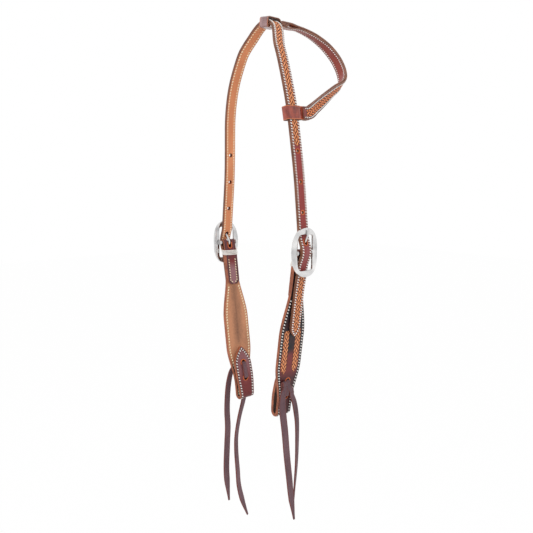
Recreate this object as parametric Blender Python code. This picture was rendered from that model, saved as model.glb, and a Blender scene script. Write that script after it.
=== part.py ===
"""Western headstall: crown, sliding ear piece, two cart buckles, two flared cheeks tied with laces.

Metres. +X is the horse's right side, +Y is forward, +Z is up. The origin is under the crown's
lining at the poll, where the horse's head or a hook carries the headstall.
"""

import math

import bmesh
import bpy
from mathutils import Matrix, Vector

# Gaps that separate solids keep
GAP = 0.0003
EASE = 0.0005
OVERRUN = 0.004

# Leather layers
GRAIN_THICKNESS = 0.0019
LINING_THICKNESS = 0.0018
EDGE_BEVEL = 0.0004

# Crown strap: an arc over the poll, a long shallow arc down each side, then straight
CROWN_WIDTH = 0.0159
POLL_RADIUS = 0.0271
POLL_TURN = math.radians(56.4)
SIDE_RADIUS = 0.2703
STRAP_SLANT = math.radians(6.07)
CROWN_TAIL_BELOW_BAR = 0.112
CROWN_POINT_LENGTH = 0.014
POINT_END_WIDTH = 0.0022

# The crown's lean: back of the poll on its way down, with a slight bow in it
POLL_LEAN = 0.0100
POLL_LEAN_DROP = 0.0400
BOW_BACK = 0.0054
BOW_PEAK_DROP = 0.0850
BOW_END_DROP = 0.2150

# Adjustment holes of the crown
HOLE_DIAMETER = 0.0048
HOLE_PITCH = 0.0381
FREE_HOLES = 3
TONGUE_HOLE_LENGTH = 0.0084
TONGUE_HOLE_ABOVE_BAR = 0.0123

# Cart buckle
BAR_DROP = 0.2915
BAR_RADIUS = 0.0020
BUCKLE_HEIGHT = 0.0625
BUCKLE_WIDTH = 0.0425
RIM_SIDE_WIDTH = 0.0085
RIM_END_WIDTH = 0.0088
RIM_THICKNESS = 0.0050
RIM_DISH = 0.0070
RIM_SQUARENESS = 2.5
RIM_CLEARANCE = 0.0014
LUG_RADIUS = 0.0041
LUG_REACH = 0.0054
BAR_SOCKET_DEPTH = 0.0046
TONGUE_RADIUS = 0.0015
TONGUE_TIP_RADIUS = 0.0011
TONGUE_CURL_START = math.radians(60)

# Cheek: chape round the bar, front, fold at the bit end, pointed tab behind
CHAPE_WIDTH = 0.0205
CHAPE_LENGTH = 0.0605
CHAPE_MERGE = 0.0160
SLOT_WIDTH = 0.0066
SLOT_BELOW_BAR = 0.0085
LINING_BELOW_BAR = 0.0098
CHEEK_SLANT = math.radians(8.2)
CHEEK_LENGTH = 0.2285
CHEEK_WIDTH = 0.0420
CHEEK_FLARE_START = 0.0440
CHEEK_FLARE_END = 0.1120
CHEEK_TAPER_START = 0.1520
CHEEK_TAPER_END = 0.2080
CHEEK_TUCK = 0.0041
WEAVE_LENGTH = 0.0200
FOLD_WIDTH = 0.0240
FOLD_OPENING = 0.0056
TAB_LENGTH = 0.0760
TAB_WIDTH = 0.0292
TAB_WIDEST = 0.0380
TAB_POINT_START = 0.0500
TAB_CLOSE_START = 0.0120
TIE_HOLE_DIAMETER = 0.0086
TIE_HOLE_UPPER = 0.0530
TIE_HOLE_PITCH = 0.0220

# Thread whipping that closes the chape under the bar
THREAD_DIAMETER = 0.0012
WHIP_TURNS = 4
WHIP_PITCH = 0.0018
WHIP_BELOW_BAR = 0.0104
TAIL_LIFT = 0.0015
TAIL_LIFT_END = 0.0560

# Water tie of flat lace
LACE_WIDTH = 0.0095
LACE_IN_HOLE_WIDTH = 0.0056
LACE_THICKNESS = 0.0021
LACE_BEND = 0.0019
LACE_LEAD = 2 * LACE_BEND
LEG_LENGTH = 0.0140
LEG_SHIFT = 0.0086
LACE_TIP_LENGTH = 0.0330
LACE_TIP_WIDTH = 0.0024

# Ear piece
EAR_WIDTH = 0.0159
EAR_REACH = 0.1034
EAR_BULGE = 0.0089
EAR_LOOP_WIDTH = 0.0170
EAR_LOOP_THICKNESS = 0.0013
EAR_LOOP_OVERLAP = 0.0130
EAR_LAYER_CLEAR = 0.0056
EAR_LAYER_CLOSE = 0.0170
UPPER_LOOP_FROM_POLL = 0.0040
LOWER_LOOP_DROP = 0.1215
UPPER_LOOP_ABOVE = 0.0025
UPPER_LOOP_BELOW = 0.0045
UPPER_LOOP_BEHIND = 0.0008
LOWER_LOOP_ABOVE = 0.0003
LOWER_LOOP_BELOW = 0.0040
LOWER_LOOP_BEHIND = 0.0025
LOOP_FRONT_EASE = 0.0008
LOOP_CORNER = 0.0026

# The ear strap's route between the loops' tongues: along the chord from loop to loop, forward of
# it, and out from it
EAR_ROUTE_shares = (
    (0.010, 0.340, 0.16), (0.040, 0.480, 0.46), (0.110, 0.665, 0.76), (0.220, 0.845, 0.92),
    (0.370, 0.970, 1.00), (0.525, 1.010, 0.94), (0.640, 0.955, 0.82), (0.727, 0.780, 0.63),
    (0.820, 0.600, 0.42), (0.912, 0.420, 0.20),
)

# Each free lace tail: out from the middle, forward of the buckle's middle, below the poll, and its
# turn to the camera's side in radians; each route follows the photographed fall of the lace by hand
LACE_ROUTES = {
    "right_lace_tail_back": (
        (0.0565, -0.0106, 0.4840, 0.25), (0.0535, -0.0085, 0.5070, 0.42), (0.0512, -0.0020, 0.5430, 0.32),
        (0.0495, 0.0032, 0.5790, 0.25), (0.0483, 0.0090, 0.6150, 0.20), (0.0476, 0.0128, 0.6400, 0.12),
        (0.0470, 0.0200, 0.6820, 0.00),
    ),
    "right_lace_tail_front": (
        (0.0520, 0.0145, 0.5050, -0.15), (0.0495, 0.0215, 0.5330, -0.28), (0.0475, 0.0240, 0.5650, -0.38),
        (0.0460, 0.0245, 0.5980, -0.50), (0.0440, 0.0235, 0.6320, -0.62), (0.0425, 0.0230, 0.6560, -0.70),
    ),
    "left_lace_tail_back": (
        (0.0560, -0.0150, 0.4850, -0.05), (0.0535, -0.0215, 0.5050, -0.05), (0.0508, -0.0255, 0.5350, 0.00),
        (0.0494, -0.0255, 0.5620, 0.05), (0.0482, -0.0280, 0.5900, 0.08), (0.0470, -0.0305, 0.6310, 0.08),
        (0.0460, -0.0270, 0.6770, 0.00),
    ),
    "left_lace_tail_front": (
        (0.0520, 0.0095, 0.5000, -0.10), (0.0500, 0.0050, 0.5250, -0.22), (0.0490, -0.0045, 0.5530, -0.35),
        (0.0481, -0.0108, 0.5800, -0.38), (0.0474, -0.0118, 0.6050, -0.36), (0.0467, -0.0100, 0.6350, -0.32),
        (0.0460, -0.0085, 0.6600, -0.30), (0.0454, -0.0025, 0.6860, -0.25), (0.0450, 0.0072, 0.7140, -0.20),
    ),
}

# The rim's section from its inner edge over the domed face: across the rim, and through it
RIM_SECTION_shares = (
    (-1.0, -0.55), (-1.0, 0.05), (-0.72, 0.62), (-0.28, 0.95), (0.28, 0.95), (0.72, 0.62), (1.0, 0.05),
    (1.0, -0.55), (0.80, -1.0), (-0.80, -1.0),
)
RIM_FLAT_END_share = 0.86
EAR_OPEN_share = 0.85
EAR_LATE_TWIST_share = 1.45
CHAPE_ROUNDING_share = 0.35
TURN_OVER_share = 1.75
NEAR_share = 0.01

# How finely the curves are divided
SLOT_SEGMENTS = 12
POLL_STEPS = 7
SIDE_STEPS = 12
STRAIGHT_STEPS = 3
WEAVE_STEPS = 18
TAIL_STEPS = 4
POINT_STEPS = 6
EAR_SPAN_STEPS = 5
CORNER_STEPS = 3
RIM_STEPS = 46
BAR_SEGMENTS = 18
LUG_SEGMENTS = 22
CURL_STEPS = 13
SHAFT_STEPS = 3
TONGUE_SIDES = 8
CHAPE_STEPS = 2
ROUND_BAR = 9
FRONT_TOP_STEPS = 7
FRONT_MIDDLE_STEPS = 3
CHEEK_STEPS = 17
FOLD_STEPS = 7
TAB_STEPS = 7
WHIP_CORNER_STEPS = 2
WHIP_SIDES = 6
LACE_BEND_STEPS = 3
LEG_STEPS = 5
LACE_SPAN_STEPS = 3

STRAP_THICKNESS = GRAIN_THICKNESS + GAP + LINING_THICKNESS
GRAIN_OUT = (STRAP_THICKNESS - GRAIN_THICKNESS) / 2
LINING_OUT = (LINING_THICKNESS - STRAP_THICKNESS) / 2
APEX = STRAP_THICKNESS / 2
LINING_FROM_GRAIN = GRAIN_THICKNESS / 2 + GAP + LINING_THICKNESS / 2
CHAPE_RADIUS = BAR_RADIUS + GAP + GRAIN_THICKNESS / 2
CHAPE_FROM_FRONT = 2 * LINING_FROM_GRAIN
FOLD_RADIUS = FOLD_OPENING / 2 + LINING_THICKNESS + GAP + GRAIN_THICKNESS / 2
TONGUE_RING = BAR_RADIUS + GAP + TONGUE_RADIUS
STRAP_AT_RIM = RIM_DISH - RIM_THICKNESS / 2 - RIM_CLEARANCE - APEX
STRAP_OVER_BAR = TONGUE_RING + TONGUE_RADIUS + GAP + APEX
RIM_CENTRE_HEIGHT = (BUCKLE_HEIGHT - RIM_END_WIDTH) / 2
RIM_CENTRE_WIDTH = (BUCKLE_WIDTH - RIM_SIDE_WIDTH) / 2

EAR_LAYER_START = CROWN_WIDTH / 2 + EAR_LAYER_CLEAR

FORWARD = Vector((0, 1, 0))

# Where the crown's arcs end, and where its straight run puts the right buckle's bar
POLL_END = POLL_RADIUS * Vector((math.sin(POLL_TURN), 0, math.cos(POLL_TURN) - 1))
STRAIGHT_TURN = math.pi / 2 - STRAP_SLANT
SIDE_END = POLL_END + SIDE_RADIUS * Vector((
    math.sin(STRAIGHT_TURN) - math.sin(POLL_TURN), 0, math.cos(STRAIGHT_TURN) - math.cos(POLL_TURN)))
LINE_OUT_AT_BAR = STRAP_AT_RIM + RIM_CENTRE_HEIGHT * math.tan(STRAP_SLANT)
BAR_OUT = SIDE_END.x + (BAR_DROP + APEX + SIDE_END.z) * math.tan(STRAP_SLANT) - LINE_OUT_AT_BAR
BAR = Vector((BAR_OUT, -POLL_LEAN, -BAR_DROP))

# How far the crown has turned from level at the two loops of the ear piece
UPPER_TURN = UPPER_LOOP_FROM_POLL / POLL_RADIUS
LOWER_TURN = math.acos(math.cos(POLL_TURN) - (LOWER_LOOP_DROP + POLL_END.z) / SIDE_RADIUS)


def smooth(share):
    """An ease from 0 to 1 with level ends."""
    share = min(max(share, 0), 1)
    return share * share * (3 - 2 * share)


def spaced(start, end, steps):
    """Evenly spaced values from start to end, both included."""
    return [start + (end - start) * i / steps for i in range(steps + 1)]


def leather(name, colour, roughness):
    return material(name, colour, roughness, metallic=0)


def material(name, colour, roughness, metallic):
    """A Principled material, made once."""
    found = bpy.data.materials.get(name)
    if found:
        return found
    made = bpy.data.materials.new(name)
    made.use_nodes = True
    made.diffuse_color = (*colour, 1)
    shader = made.node_tree.nodes["Principled BSDF"]
    shader.inputs["Base Color"].default_value = (*colour, 1)
    shader.inputs["Roughness"].default_value = roughness
    shader.inputs["Metallic"].default_value = metallic
    return made


def finish(name, bm, look, origin=Vector((0, 0, 0))):
    """Turns a bmesh into an object whose origin lies at the given point."""
    bmesh.ops.recalc_face_normals(bm, faces=bm.faces)
    bmesh.ops.translate(bm, verts=bm.verts, vec=-origin)
    mesh = bpy.data.meshes.new(name)
    bm.to_mesh(mesh)
    bm.free()
    mesh.shade_smooth()
    mesh.set_sharp_from_angle(angle=math.radians(40))
    mesh.materials.append(look)
    piece = bpy.data.objects.new(name, mesh)
    piece.location = origin
    bpy.context.collection.objects.link(piece)
    return piece


def bridge_rings(rings):
    """A closed skin over rings of points, capped at both ends."""
    bm = bmesh.new()
    rows = [[bm.verts.new(p) for p in ring] for ring in rings]
    count = len(rows[0])
    for near, far in zip(rows, rows[1:]):
        for i in range(count):
            j = (i + 1) % count
            bm.faces.new((near[i], near[j], far[j], far[i]))
    bm.faces.new(rows[0])
    bm.faces.new(rows[-1])
    return bm


def strap_ring(centre, across, normal, width, thickness, bevelled):
    """The corners of a strap's section: eight where its edges are bevelled, or four."""
    w, t = width / 2, thickness / 2
    if not bevelled:
        return [centre + across * a + normal * b for a, b in ((w, t), (w, -t), (-w, -t), (-w, t))]
    bevel = min(EDGE_BEVEL, width / 4, thickness / 4)
    corners = ((w - bevel, t), (w, t - bevel), (w, bevel - t), (w - bevel, -t),
               (bevel - w, -t), (-w, bevel - t), (-w, t - bevel), (bevel - w, t))
    return [centre + across * a + normal * b for a, b in corners]


def strap(name, stations, thickness, look, offset=0.0, origin=Vector((0, 0, 0)), bevelled=False):
    """A flat strap through (centre, across, normal, width) stations, moved along its normals."""
    rings = [strap_ring(c + n * offset, a, n, w, thickness, bevelled) for c, a, n, w in stations]
    return finish(name, bridge_rings(rings), look, origin)


def smooth_route(points, steps):
    """A Catmull-Rom curve through points of any dimension, with steps per span."""
    ends = [2 * points[0] - points[1], *points, 2 * points[-1] - points[-2]]
    out = []
    for p0, p1, p2, p3 in zip(ends, ends[1:], ends[2:], ends[3:]):
        for i in range(steps):
            t = i / steps
            out.append(0.5 * (2 * p1 + (p2 - p0) * t + (2 * p0 - 5 * p1 + 4 * p2 - p3) * t ** 2
                              + (3 * p1 - p0 - 3 * p2 + p3) * t ** 3))
    return [*out, points[-1].copy()]


def rounded(points, radius, steps):
    """An open polyline whose inner corners are rounded to a radius."""
    out = [points[0]]
    for before, corner, after in zip(points, points[1:], points[2:]):
        back, on = (before - corner), (after - corner)
        reach = min(radius, back.length / 2, on.length / 2)
        start, end = corner + back.normalized() * reach, corner + on.normalized() * reach
        for t in spaced(0, 1, steps):
            point = start.lerp(corner, t).lerp(corner.lerp(end, t), t)
            if (point - out[-1]).length > reach * NEAR_share:
                out.append(point)
    return [*out, points[-1]]


def tangents(points):
    """The direction of travel at each point of a polyline."""
    out = []
    for i in range(len(points)):
        before, after = points[max(i - 1, 0)], points[min(i + 1, len(points) - 1)]
        out.append((after - before).normalized())
    return out


def lengths(points):
    """The distance travelled at each point of a polyline."""
    out = [0.0]
    for before, after in zip(points, points[1:]):
        out.append(out[-1] + (after - before).length)
    return out


def hanging_stations(points, widths):
    """Strap stations for a path that keeps its width as near to forward as its direction allows."""
    stations = []
    for point, ahead, width in zip(points, tangents(points), widths):
        across = (FORWARD - ahead * ahead.y).normalized()
        stations.append((point, across, ahead.cross(FORWARD).normalized(), width))
    return stations


def mirrored(points, side):
    return [Vector((p.x * side, p.y, p.z)) for p in points]


def cut(piece, cutters):
    """Cuts closed cutters, which lie apart from each other, out of a piece."""
    for cutter in cutters:
        made = piece.modifiers.new(cutter.name, "BOOLEAN")
        made.operation, made.solver, made.object = "DIFFERENCE", "EXACT", cutter


def hide_cutter(cutter):
    cutter.hide_render = True
    cutter.display_type = "WIRE"
    return cutter


def slot_outline(along, side, width, length):
    """The outline of a slot with round ends, or of a hole where its length is its width."""
    radius, straight = width / 2, (length - width) / 2
    half_turn = SLOT_SEGMENTS // 2
    outline = []
    for end in (1, -1):
        for angle in spaced(0, math.pi, half_turn):
            down, over = straight + radius * math.sin(angle), radius * math.cos(angle)
            outline.append((along * down + side * over) * end)
    return [p for i, p in enumerate(outline) if (p - outline[i - 1]).length > radius * NEAR_share]


def slot_cutter(name, centres, axis, along, width, length, depth):
    """Slots with round ends in one cutter, each through its centre along the axis."""
    outline = slot_outline(along, axis.cross(along).normalized(), width, length)
    bm = bmesh.new()
    for centre in centres:
        lower = [bm.verts.new(centre + p - axis * (depth / 2)) for p in outline]
        upper = [bm.verts.new(centre + p + axis * (depth / 2)) for p in outline]
        for i in range(len(outline)):
            j = (i + 1) % len(outline)
            bm.faces.new((lower[i], lower[j], upper[j], upper[i]))
        bm.faces.new(lower)
        bm.faces.new(upper)
    return hide_cutter(finish(name, bm, leather("cutter", (1, 1, 1), 1)))


# The side view, in metres out from the buckle's bar and up from it

def upper_strap_line(up):
    """The crown's straight run beside the buckle's top rim, as if it didn't cross the bar."""
    return STRAP_AT_RIM - (up - RIM_CENTRE_HEIGHT) * math.tan(STRAP_SLANT)


def crown_out(up):
    """How far out the crown's middle lies at a height by the buckle, weaving over the bar."""
    if up >= 0:
        line = upper_strap_line
        swing = STRAP_OVER_BAR - line(0)
        start = RIM_CENTRE_HEIGHT - RIM_END_WIDTH / 2
        return line(up) + swing * smooth((start - up) / (start - 2 * TONGUE_RADIUS))
    lift = TAIL_LIFT * (1 - smooth((-up - WEAVE_LENGTH) / (TAIL_LIFT_END - WEAVE_LENGTH)))
    rest = GRAIN_THICKNESS / 2 + EASE + APEX + lift
    swing = STRAP_OVER_BAR - cheek_line(0) - rest
    return cheek_line(up) + rest + swing * (1 - smooth(-up / WEAVE_LENGTH))


def cheek_line(up):
    """The slanted straight that the cheek's front layer keeps below the buckle's bar."""
    return -CHEEK_TUCK + (up + WEAVE_LENGTH) * math.tan(CHEEK_SLANT)


def cheek_out(up):
    """How far out the middle of the cheek's front layer lies: on the bar, then on its slant."""
    swing = CHAPE_RADIUS - cheek_line(0)
    return cheek_line(up) + swing * (1 - smooth(-up / WEAVE_LENGTH))


def chape_out(up):
    """How far out the middle of the chape's back strand lies."""
    spread = 2 * CHAPE_RADIUS - CHAPE_FROM_FRONT
    return cheek_out(up) - CHAPE_FROM_FRONT - spread * (1 - smooth(-up / CHAPE_MERGE))


def crown_arc_point(turn):
    """The crown's middle where it has turned by an angle from level at the poll."""
    first = min(turn, POLL_TURN)
    point = POLL_RADIUS * Vector((math.sin(first), 0, math.cos(first) - 1))
    if turn > POLL_TURN:
        point += SIDE_RADIUS * Vector((
            math.sin(turn) - math.sin(POLL_TURN), 0, math.cos(turn) - math.cos(POLL_TURN)))
    return leaned(point + Vector((0, 0, APEX)))


def leaned(point):
    """The same point, as far forward as the crown's middle lies at its height."""
    drop = APEX - point.z
    bow = smooth(drop / BOW_PEAK_DROP) * (1 - smooth((drop - BOW_PEAK_DROP) / (BOW_END_DROP - BOW_PEAK_DROP)))
    return Vector((point.x, -POLL_LEAN * smooth(drop / POLL_LEAN_DROP) - BOW_BACK * bow, point.z))


def crown_half():
    """The crown's middle from just past the poll down to the right tail's tip."""
    turns = spaced(0, POLL_TURN, POLL_STEPS)[1:] + spaced(POLL_TURN, STRAIGHT_TURN, SIDE_STEPS)[1:]
    points = [crown_arc_point(turn) for turn in turns]
    top = RIM_CENTRE_HEIGHT + RIM_END_WIDTH
    straight = points[-1]
    joint = Vector((BAR.x + crown_out(top), 0, BAR.z + top))
    points += [straight.lerp(joint, share) for share in spaced(0, 1, STRAIGHT_STEPS)[1:]]
    point_start = CROWN_POINT_LENGTH - CROWN_TAIL_BELOW_BAR
    heights = spaced(top, -TAIL_LIFT_END, WEAVE_STEPS)[1:]
    heights += spaced(-TAIL_LIFT_END, point_start, TAIL_STEPS)[1:]
    heights += spaced(point_start, -CROWN_TAIL_BELOW_BAR, POINT_STEPS)[1:]
    points += [Vector((BAR.x + crown_out(up), 0, BAR.z + up)) for up in heights]
    return [leaned(point) for point in points]


def pointed(width, end_width, from_tip, point_length):
    """A strap's width near a rounded point."""
    if from_tip >= point_length:
        return width
    share = from_tip / point_length
    return end_width + (width - end_width) * math.sin(share * math.pi / 2) ** 0.8


def crown_stations():
    half = crown_half()
    points = [*reversed(mirrored(half, -1)), Vector((0, 0, APEX)), *half]
    along = lengths(points)
    widths = [pointed(CROWN_WIDTH, POINT_END_WIDTH, min(d, along[-1] - d), CROWN_POINT_LENGTH) for d in along]
    return hanging_stations(points, widths)


def along_path(points, target):
    """The point and direction where a polyline has travelled a distance."""
    travelled = lengths(points)
    for i in range(1, len(points)):
        if travelled[i] >= target:
            share = (target - travelled[i - 1]) / (travelled[i] - travelled[i - 1])
            return points[i - 1].lerp(points[i], share), (points[i] - points[i - 1]).normalized()
    return points[-1], (points[-1] - points[-2]).normalized()


def tongue_hole():
    """The middle of the right tongue hole, and the strap's direction there."""
    half = crown_half()
    height = BAR.z + TONGUE_HOLE_ABOVE_BAR
    for before, after in zip(half, half[1:]):
        if before.z >= height > after.z:
            share = (before.z - height) / (before.z - after.z)
            return before.lerp(after, share), (after - before).normalized()
    raise ValueError("the tongue hole lies off the crown")


def build_crown():
    stations = crown_stations()
    grain = leather("crown_grain", (0.42, 0.17, 0.09), 0.45)
    flesh = leather("crown_flesh", (0.55, 0.30, 0.18), 0.75)
    outer = strap("crown_outer", stations, GRAIN_THICKNESS, grain, GRAIN_OUT, bevelled=True)
    lining = strap("crown_lining", stations, LINING_THICKNESS, flesh, LINING_OUT)
    half = crown_half()
    hole, down = tongue_hole()
    travelled = next(d for p, d in zip(half, lengths(half)) if p.z <= hole.z)
    for side, word in ((1, "right"), (-1, "left")):
        centre = mirrored([hole], side)[0]
        ahead = mirrored([down], side)[0]
        through = ahead.cross(FORWARD).normalized()
        cutters = [slot_cutter(f"{word}_tongue_hole", [centre], through, ahead,
                               HOLE_DIAMETER, TONGUE_HOLE_LENGTH, STRAP_THICKNESS + 2 * OVERRUN)]
        for number in range(1, FREE_HOLES + 1):
            point, way = along_path(half, travelled - number * HOLE_PITCH)
            point, way = mirrored([point], side)[0], mirrored([way], side)[0]
            through = way.cross(FORWARD).normalized()
            cutters.append(slot_cutter(f"{word}_strap_hole_{number}", [point], through, way,
                                       HOLE_DIAMETER, HOLE_DIAMETER, STRAP_THICKNESS + 2 * OVERRUN))
        cut(outer, cutters)
        cut(lining, cutters)


# Ear piece

def loop_frame(turn):
    """A loop's place on the crown: its middle, and the crown's direction, outward normal and front."""
    half = EAR_LOOP_WIDTH / 2 / (POLL_RADIUS if turn < POLL_TURN else SIDE_RADIUS)
    ahead = (crown_arc_point(turn + half) - crown_arc_point(turn - half)).normalized()
    out = ahead.cross(FORWARD).normalized()
    return crown_arc_point(turn), ahead, out, out.cross(ahead)


def ear_pivot():
    """Where the crown's normals at the two loops cross: the centre that the ear piece slides about."""
    upper, _, up, _ = loop_frame(UPPER_TURN)
    lower, _, out, _ = loop_frame(LOWER_TURN)
    gap = lower - upper
    distance = (gap.x * out.z - gap.z * out.x) / (up.x * out.z - up.z * out.x)
    return upper + up * distance


def ear_centres():
    """The ear strap's middle, from the upper loop round the ear to the lower loop."""
    upper, _, _, upper_front = loop_frame(UPPER_TURN)
    lower, _, _, lower_front = loop_frame(LOWER_TURN)
    chord = lower - upper
    out = Vector((-chord.z, 0, chord.x)).normalized()
    bow = [upper + chord * k + FORWARD * (EAR_REACH * f) + out * (EAR_BULGE * b)
           for k, f, b in EAR_ROUTE_shares]
    start, straight = EAR_LAYER_START + LOOP_CORNER, EAR_LAYER_START + EAR_LOOP_OVERLAP
    first = [upper + upper_front * start, upper + upper_front * straight]
    last = [lower + lower_front * straight, lower + lower_front * start]
    return smooth_route([*first, *bow, *last], EAR_SPAN_STEPS)


def ear_stations(layer):
    """Stations of one layer of the ear strap, which opens at both ends round the loops' tongues."""
    points = ear_centres()
    ahead = tangents(points)
    travelled = lengths(points)
    first, last = -UPPER_TURN, math.pi - LOWER_TURN
    closed = EASE / 2 + layer / 2
    opened = GAP / 2 + EAR_LOOP_THICKNESS + EASE + layer / 2
    stations = []
    for point, tangent, distance in zip(points, ahead, travelled):
        roll = first + (last - first) * smooth(distance / travelled[-1]) ** EAR_LATE_TWIST_share
        across = Vector((math.cos(roll), 0, math.sin(roll)))
        across = (across - tangent * across.dot(tangent)).normalized()
        normal = across.cross(tangent).normalized()
        from_end = min(distance, travelled[-1] - distance)
        spread = opened + (closed - opened) * smooth(from_end / EAR_LAYER_CLOSE - EAR_OPEN_share)
        stations.append((point, across, normal, EAR_WIDTH, spread))
    return stations


def ear_loop(name, turn, above, below, behind, look, origin):
    """A thin loop round the crown whose two ends lie together between the ear strap's layers."""
    centre, along, out, forward = loop_frame(turn)
    half = EAR_LOOP_THICKNESS / 2
    top, bottom = APEX + above + half, -(APEX + below + half)
    side, back = CROWN_WIDTH / 2 + LOOP_FRONT_EASE + half, -(CROWN_WIDTH / 2 + behind + half)
    lip = GAP / 2 + half
    end = EAR_LAYER_START + EAR_LOOP_OVERLAP
    outline = ((end, lip), (EAR_LAYER_START, lip), (side, top), (back, top),
               (back, bottom), (side, bottom), (EAR_LAYER_START, -lip), (end, -lip))
    corners = [centre + forward * p + out * q for p, q in outline]
    points = rounded(corners, LOOP_CORNER, CORNER_STEPS)
    stations = []
    for point, ahead in zip(points, tangents(points)):
        stations.append((point, along, along.cross(ahead).normalized(), EAR_LOOP_WIDTH))
    return strap(name, stations, EAR_LOOP_THICKNESS, look, origin=origin)


def build_ear_piece():
    pivot = ear_pivot()
    grain = leather("ear_grain", (0.42, 0.17, 0.09), 0.45)
    flesh = leather("ear_flesh", (0.24, 0.09, 0.07), 0.6)
    plain = leather("ear_loop_leather", (0.20, 0.07, 0.06), 0.35)
    for name, layer, way, look in (("ear_outer", GRAIN_THICKNESS, 1, grain),
                                   ("ear_lining", LINING_THICKNESS, -1, flesh)):
        stations = [(c + n * (way * spread), a, n, w) for c, a, n, w, spread in ear_stations(layer)]
        strap(name, stations, layer, look, origin=pivot, bevelled=way > 0)
    ear_loop("ear_upper_loop", UPPER_TURN, UPPER_LOOP_ABOVE, UPPER_LOOP_BELOW, UPPER_LOOP_BEHIND, plain, pivot)
    ear_loop("ear_lower_loop", LOWER_TURN, LOWER_LOOP_ABOVE, LOWER_LOOP_BELOW, LOWER_LOOP_BEHIND, plain, pivot)


# Cart buckles

def power(value, exponent):
    return math.copysign(abs(value) ** exponent, value)


def rim_ring(angle, side):
    """The rim's domed section at an angle round the dished oval."""
    exponent = 2 / RIM_SQUARENESS
    c, s = math.cos(angle), math.sin(angle)
    forward, up = RIM_CENTRE_WIDTH * power(c, exponent), RIM_CENTRE_HEIGHT * power(s, exponent)
    slope = Vector((0, power(c, 2 - exponent) / RIM_CENTRE_WIDTH, power(s, 2 - exponent) / RIM_CENTRE_HEIGHT))
    radial = slope.normalized()
    width = RIM_SIDE_WIDTH + (RIM_END_WIDTH - RIM_SIDE_WIDTH) * s * s
    dish = RIM_DISH * smooth(abs(up) / RIM_CENTRE_HEIGHT / RIM_FLAT_END_share)
    centre = BAR + Vector((dish, forward, up))
    ring = []
    for across, through in RIM_SECTION_shares:
        point = centre + radial * (across * width / 2) + Vector((through * RIM_THICKNESS / 2, 0, 0))
        ring.append(Vector((point.x * side, point.y, point.z)))
    return ring


def buckle_rim(name, side, look):
    bm = bmesh.new()
    angles = [math.pi * (2 * i + 1) / RIM_STEPS for i in range(RIM_STEPS)]
    rows = [[bm.verts.new(p) for p in rim_ring(angle, side)] for angle in angles]
    count = len(rows[0])
    for i in range(RIM_STEPS):
        near, far = rows[i], rows[(i + 1) % RIM_STEPS]
        for j in range(count):
            k = (j + 1) % count
            bm.faces.new((near[j], near[k], far[k], far[j]))
    return finish(name, bm, look, mirrored([BAR], side)[0])


def turned(name, centre, radius, length, look, segments):
    """A cylinder along Y."""
    bm = bmesh.new()
    bmesh.ops.create_cone(bm, cap_ends=True, segments=segments, radius1=radius, radius2=radius, depth=length,
                          matrix=Matrix.Rotation(math.pi / 2, 4, "X"))
    bmesh.ops.translate(bm, verts=bm.verts, vec=centre)
    return finish(name, bm, look, centre)


def build_buckle(side, word):
    nickel = material("nickel", (0.62, 0.60, 0.57), 0.2, metallic=1)
    axis = mirrored([BAR], side)[0]
    frame = buckle_rim(f"{word}_buckle_frame", side, nickel)
    inner = RIM_CENTRE_WIDTH - RIM_SIDE_WIDTH / 2
    for way, place in ((1, "front"), (-1, "back")):
        centre = axis + FORWARD * (way * (inner + LUG_REACH / 2 - EASE))
        lug = hide_cutter(turned(f"{word}_{place}_lug", centre, LUG_RADIUS, LUG_REACH, nickel, LUG_SEGMENTS))
        join = frame.modifiers.new(lug.name, "BOOLEAN")
        join.operation, join.solver, join.object = "UNION", "EXACT", lug
    reach = inner - EASE + BAR_SOCKET_DEPTH
    socket = turned(f"{word}_bar_socket", axis, BAR_RADIUS + GAP / 2, 2 * reach, nickel, BAR_SEGMENTS)
    cut(frame, [hide_cutter(socket)])
    steel = material("bar_steel", (0.55, 0.54, 0.52), 0.3, metallic=1)
    turned(f"{word}_buckle_bar", axis, BAR_RADIUS, 2 * (reach - GAP), steel, BAR_SEGMENTS)
    build_tongue(side, word, nickel)


def tongue_line():
    """The tongue's middle in the right side view: its curl round the bar, the hole, the top rim."""
    hole, _ = tongue_hole()
    target = hole - BAR
    distance = math.hypot(target.x, target.z)
    bearing = math.atan2(target.z, target.x)
    leave = bearing + math.acos(TONGUE_RING / distance)
    sweep = spaced(TONGUE_CURL_START, leave - 2 * math.pi, CURL_STEPS)
    curl = [Vector((TONGUE_RING * math.cos(a), 0, TONGUE_RING * math.sin(a))) for a in sweep]
    rim_face = RIM_DISH + RIM_THICKNESS / 2 + GAP + TONGUE_RADIUS
    rest = Vector((rim_face, 0, RIM_CENTRE_HEIGHT - RIM_END_WIDTH / 6))
    tip = Vector((rim_face + TONGUE_TIP_RADIUS / 4, 0, BUCKLE_HEIGHT / 2 - TONGUE_RADIUS))
    middle = target.lerp(rest, 0.5) + Vector((TONGUE_RADIUS / 2, 0, 0))
    shaft = smooth_route([curl[-1].lerp(target, 0.5), target, middle, rest, tip], SHAFT_STEPS)
    return [BAR + p for p in [*curl, *shaft]]


def tube(name, points, radii, sides, look, origin=Vector((0, 0, 0))):
    """A round tube along points, its section carried along without twist."""
    ahead = tangents(points)
    across = ahead[0].orthogonal().normalized()
    rings = []
    for point, tangent, radius in zip(points, ahead, radii):
        across = (across - tangent * across.dot(tangent)).normalized()
        other = tangent.cross(across)
        rings.append([point + (across * math.cos(2 * math.pi * i / sides)
                               + other * math.sin(2 * math.pi * i / sides)) * radius for i in range(sides)])
    return finish(name, bridge_rings(rings), look, origin)


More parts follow.
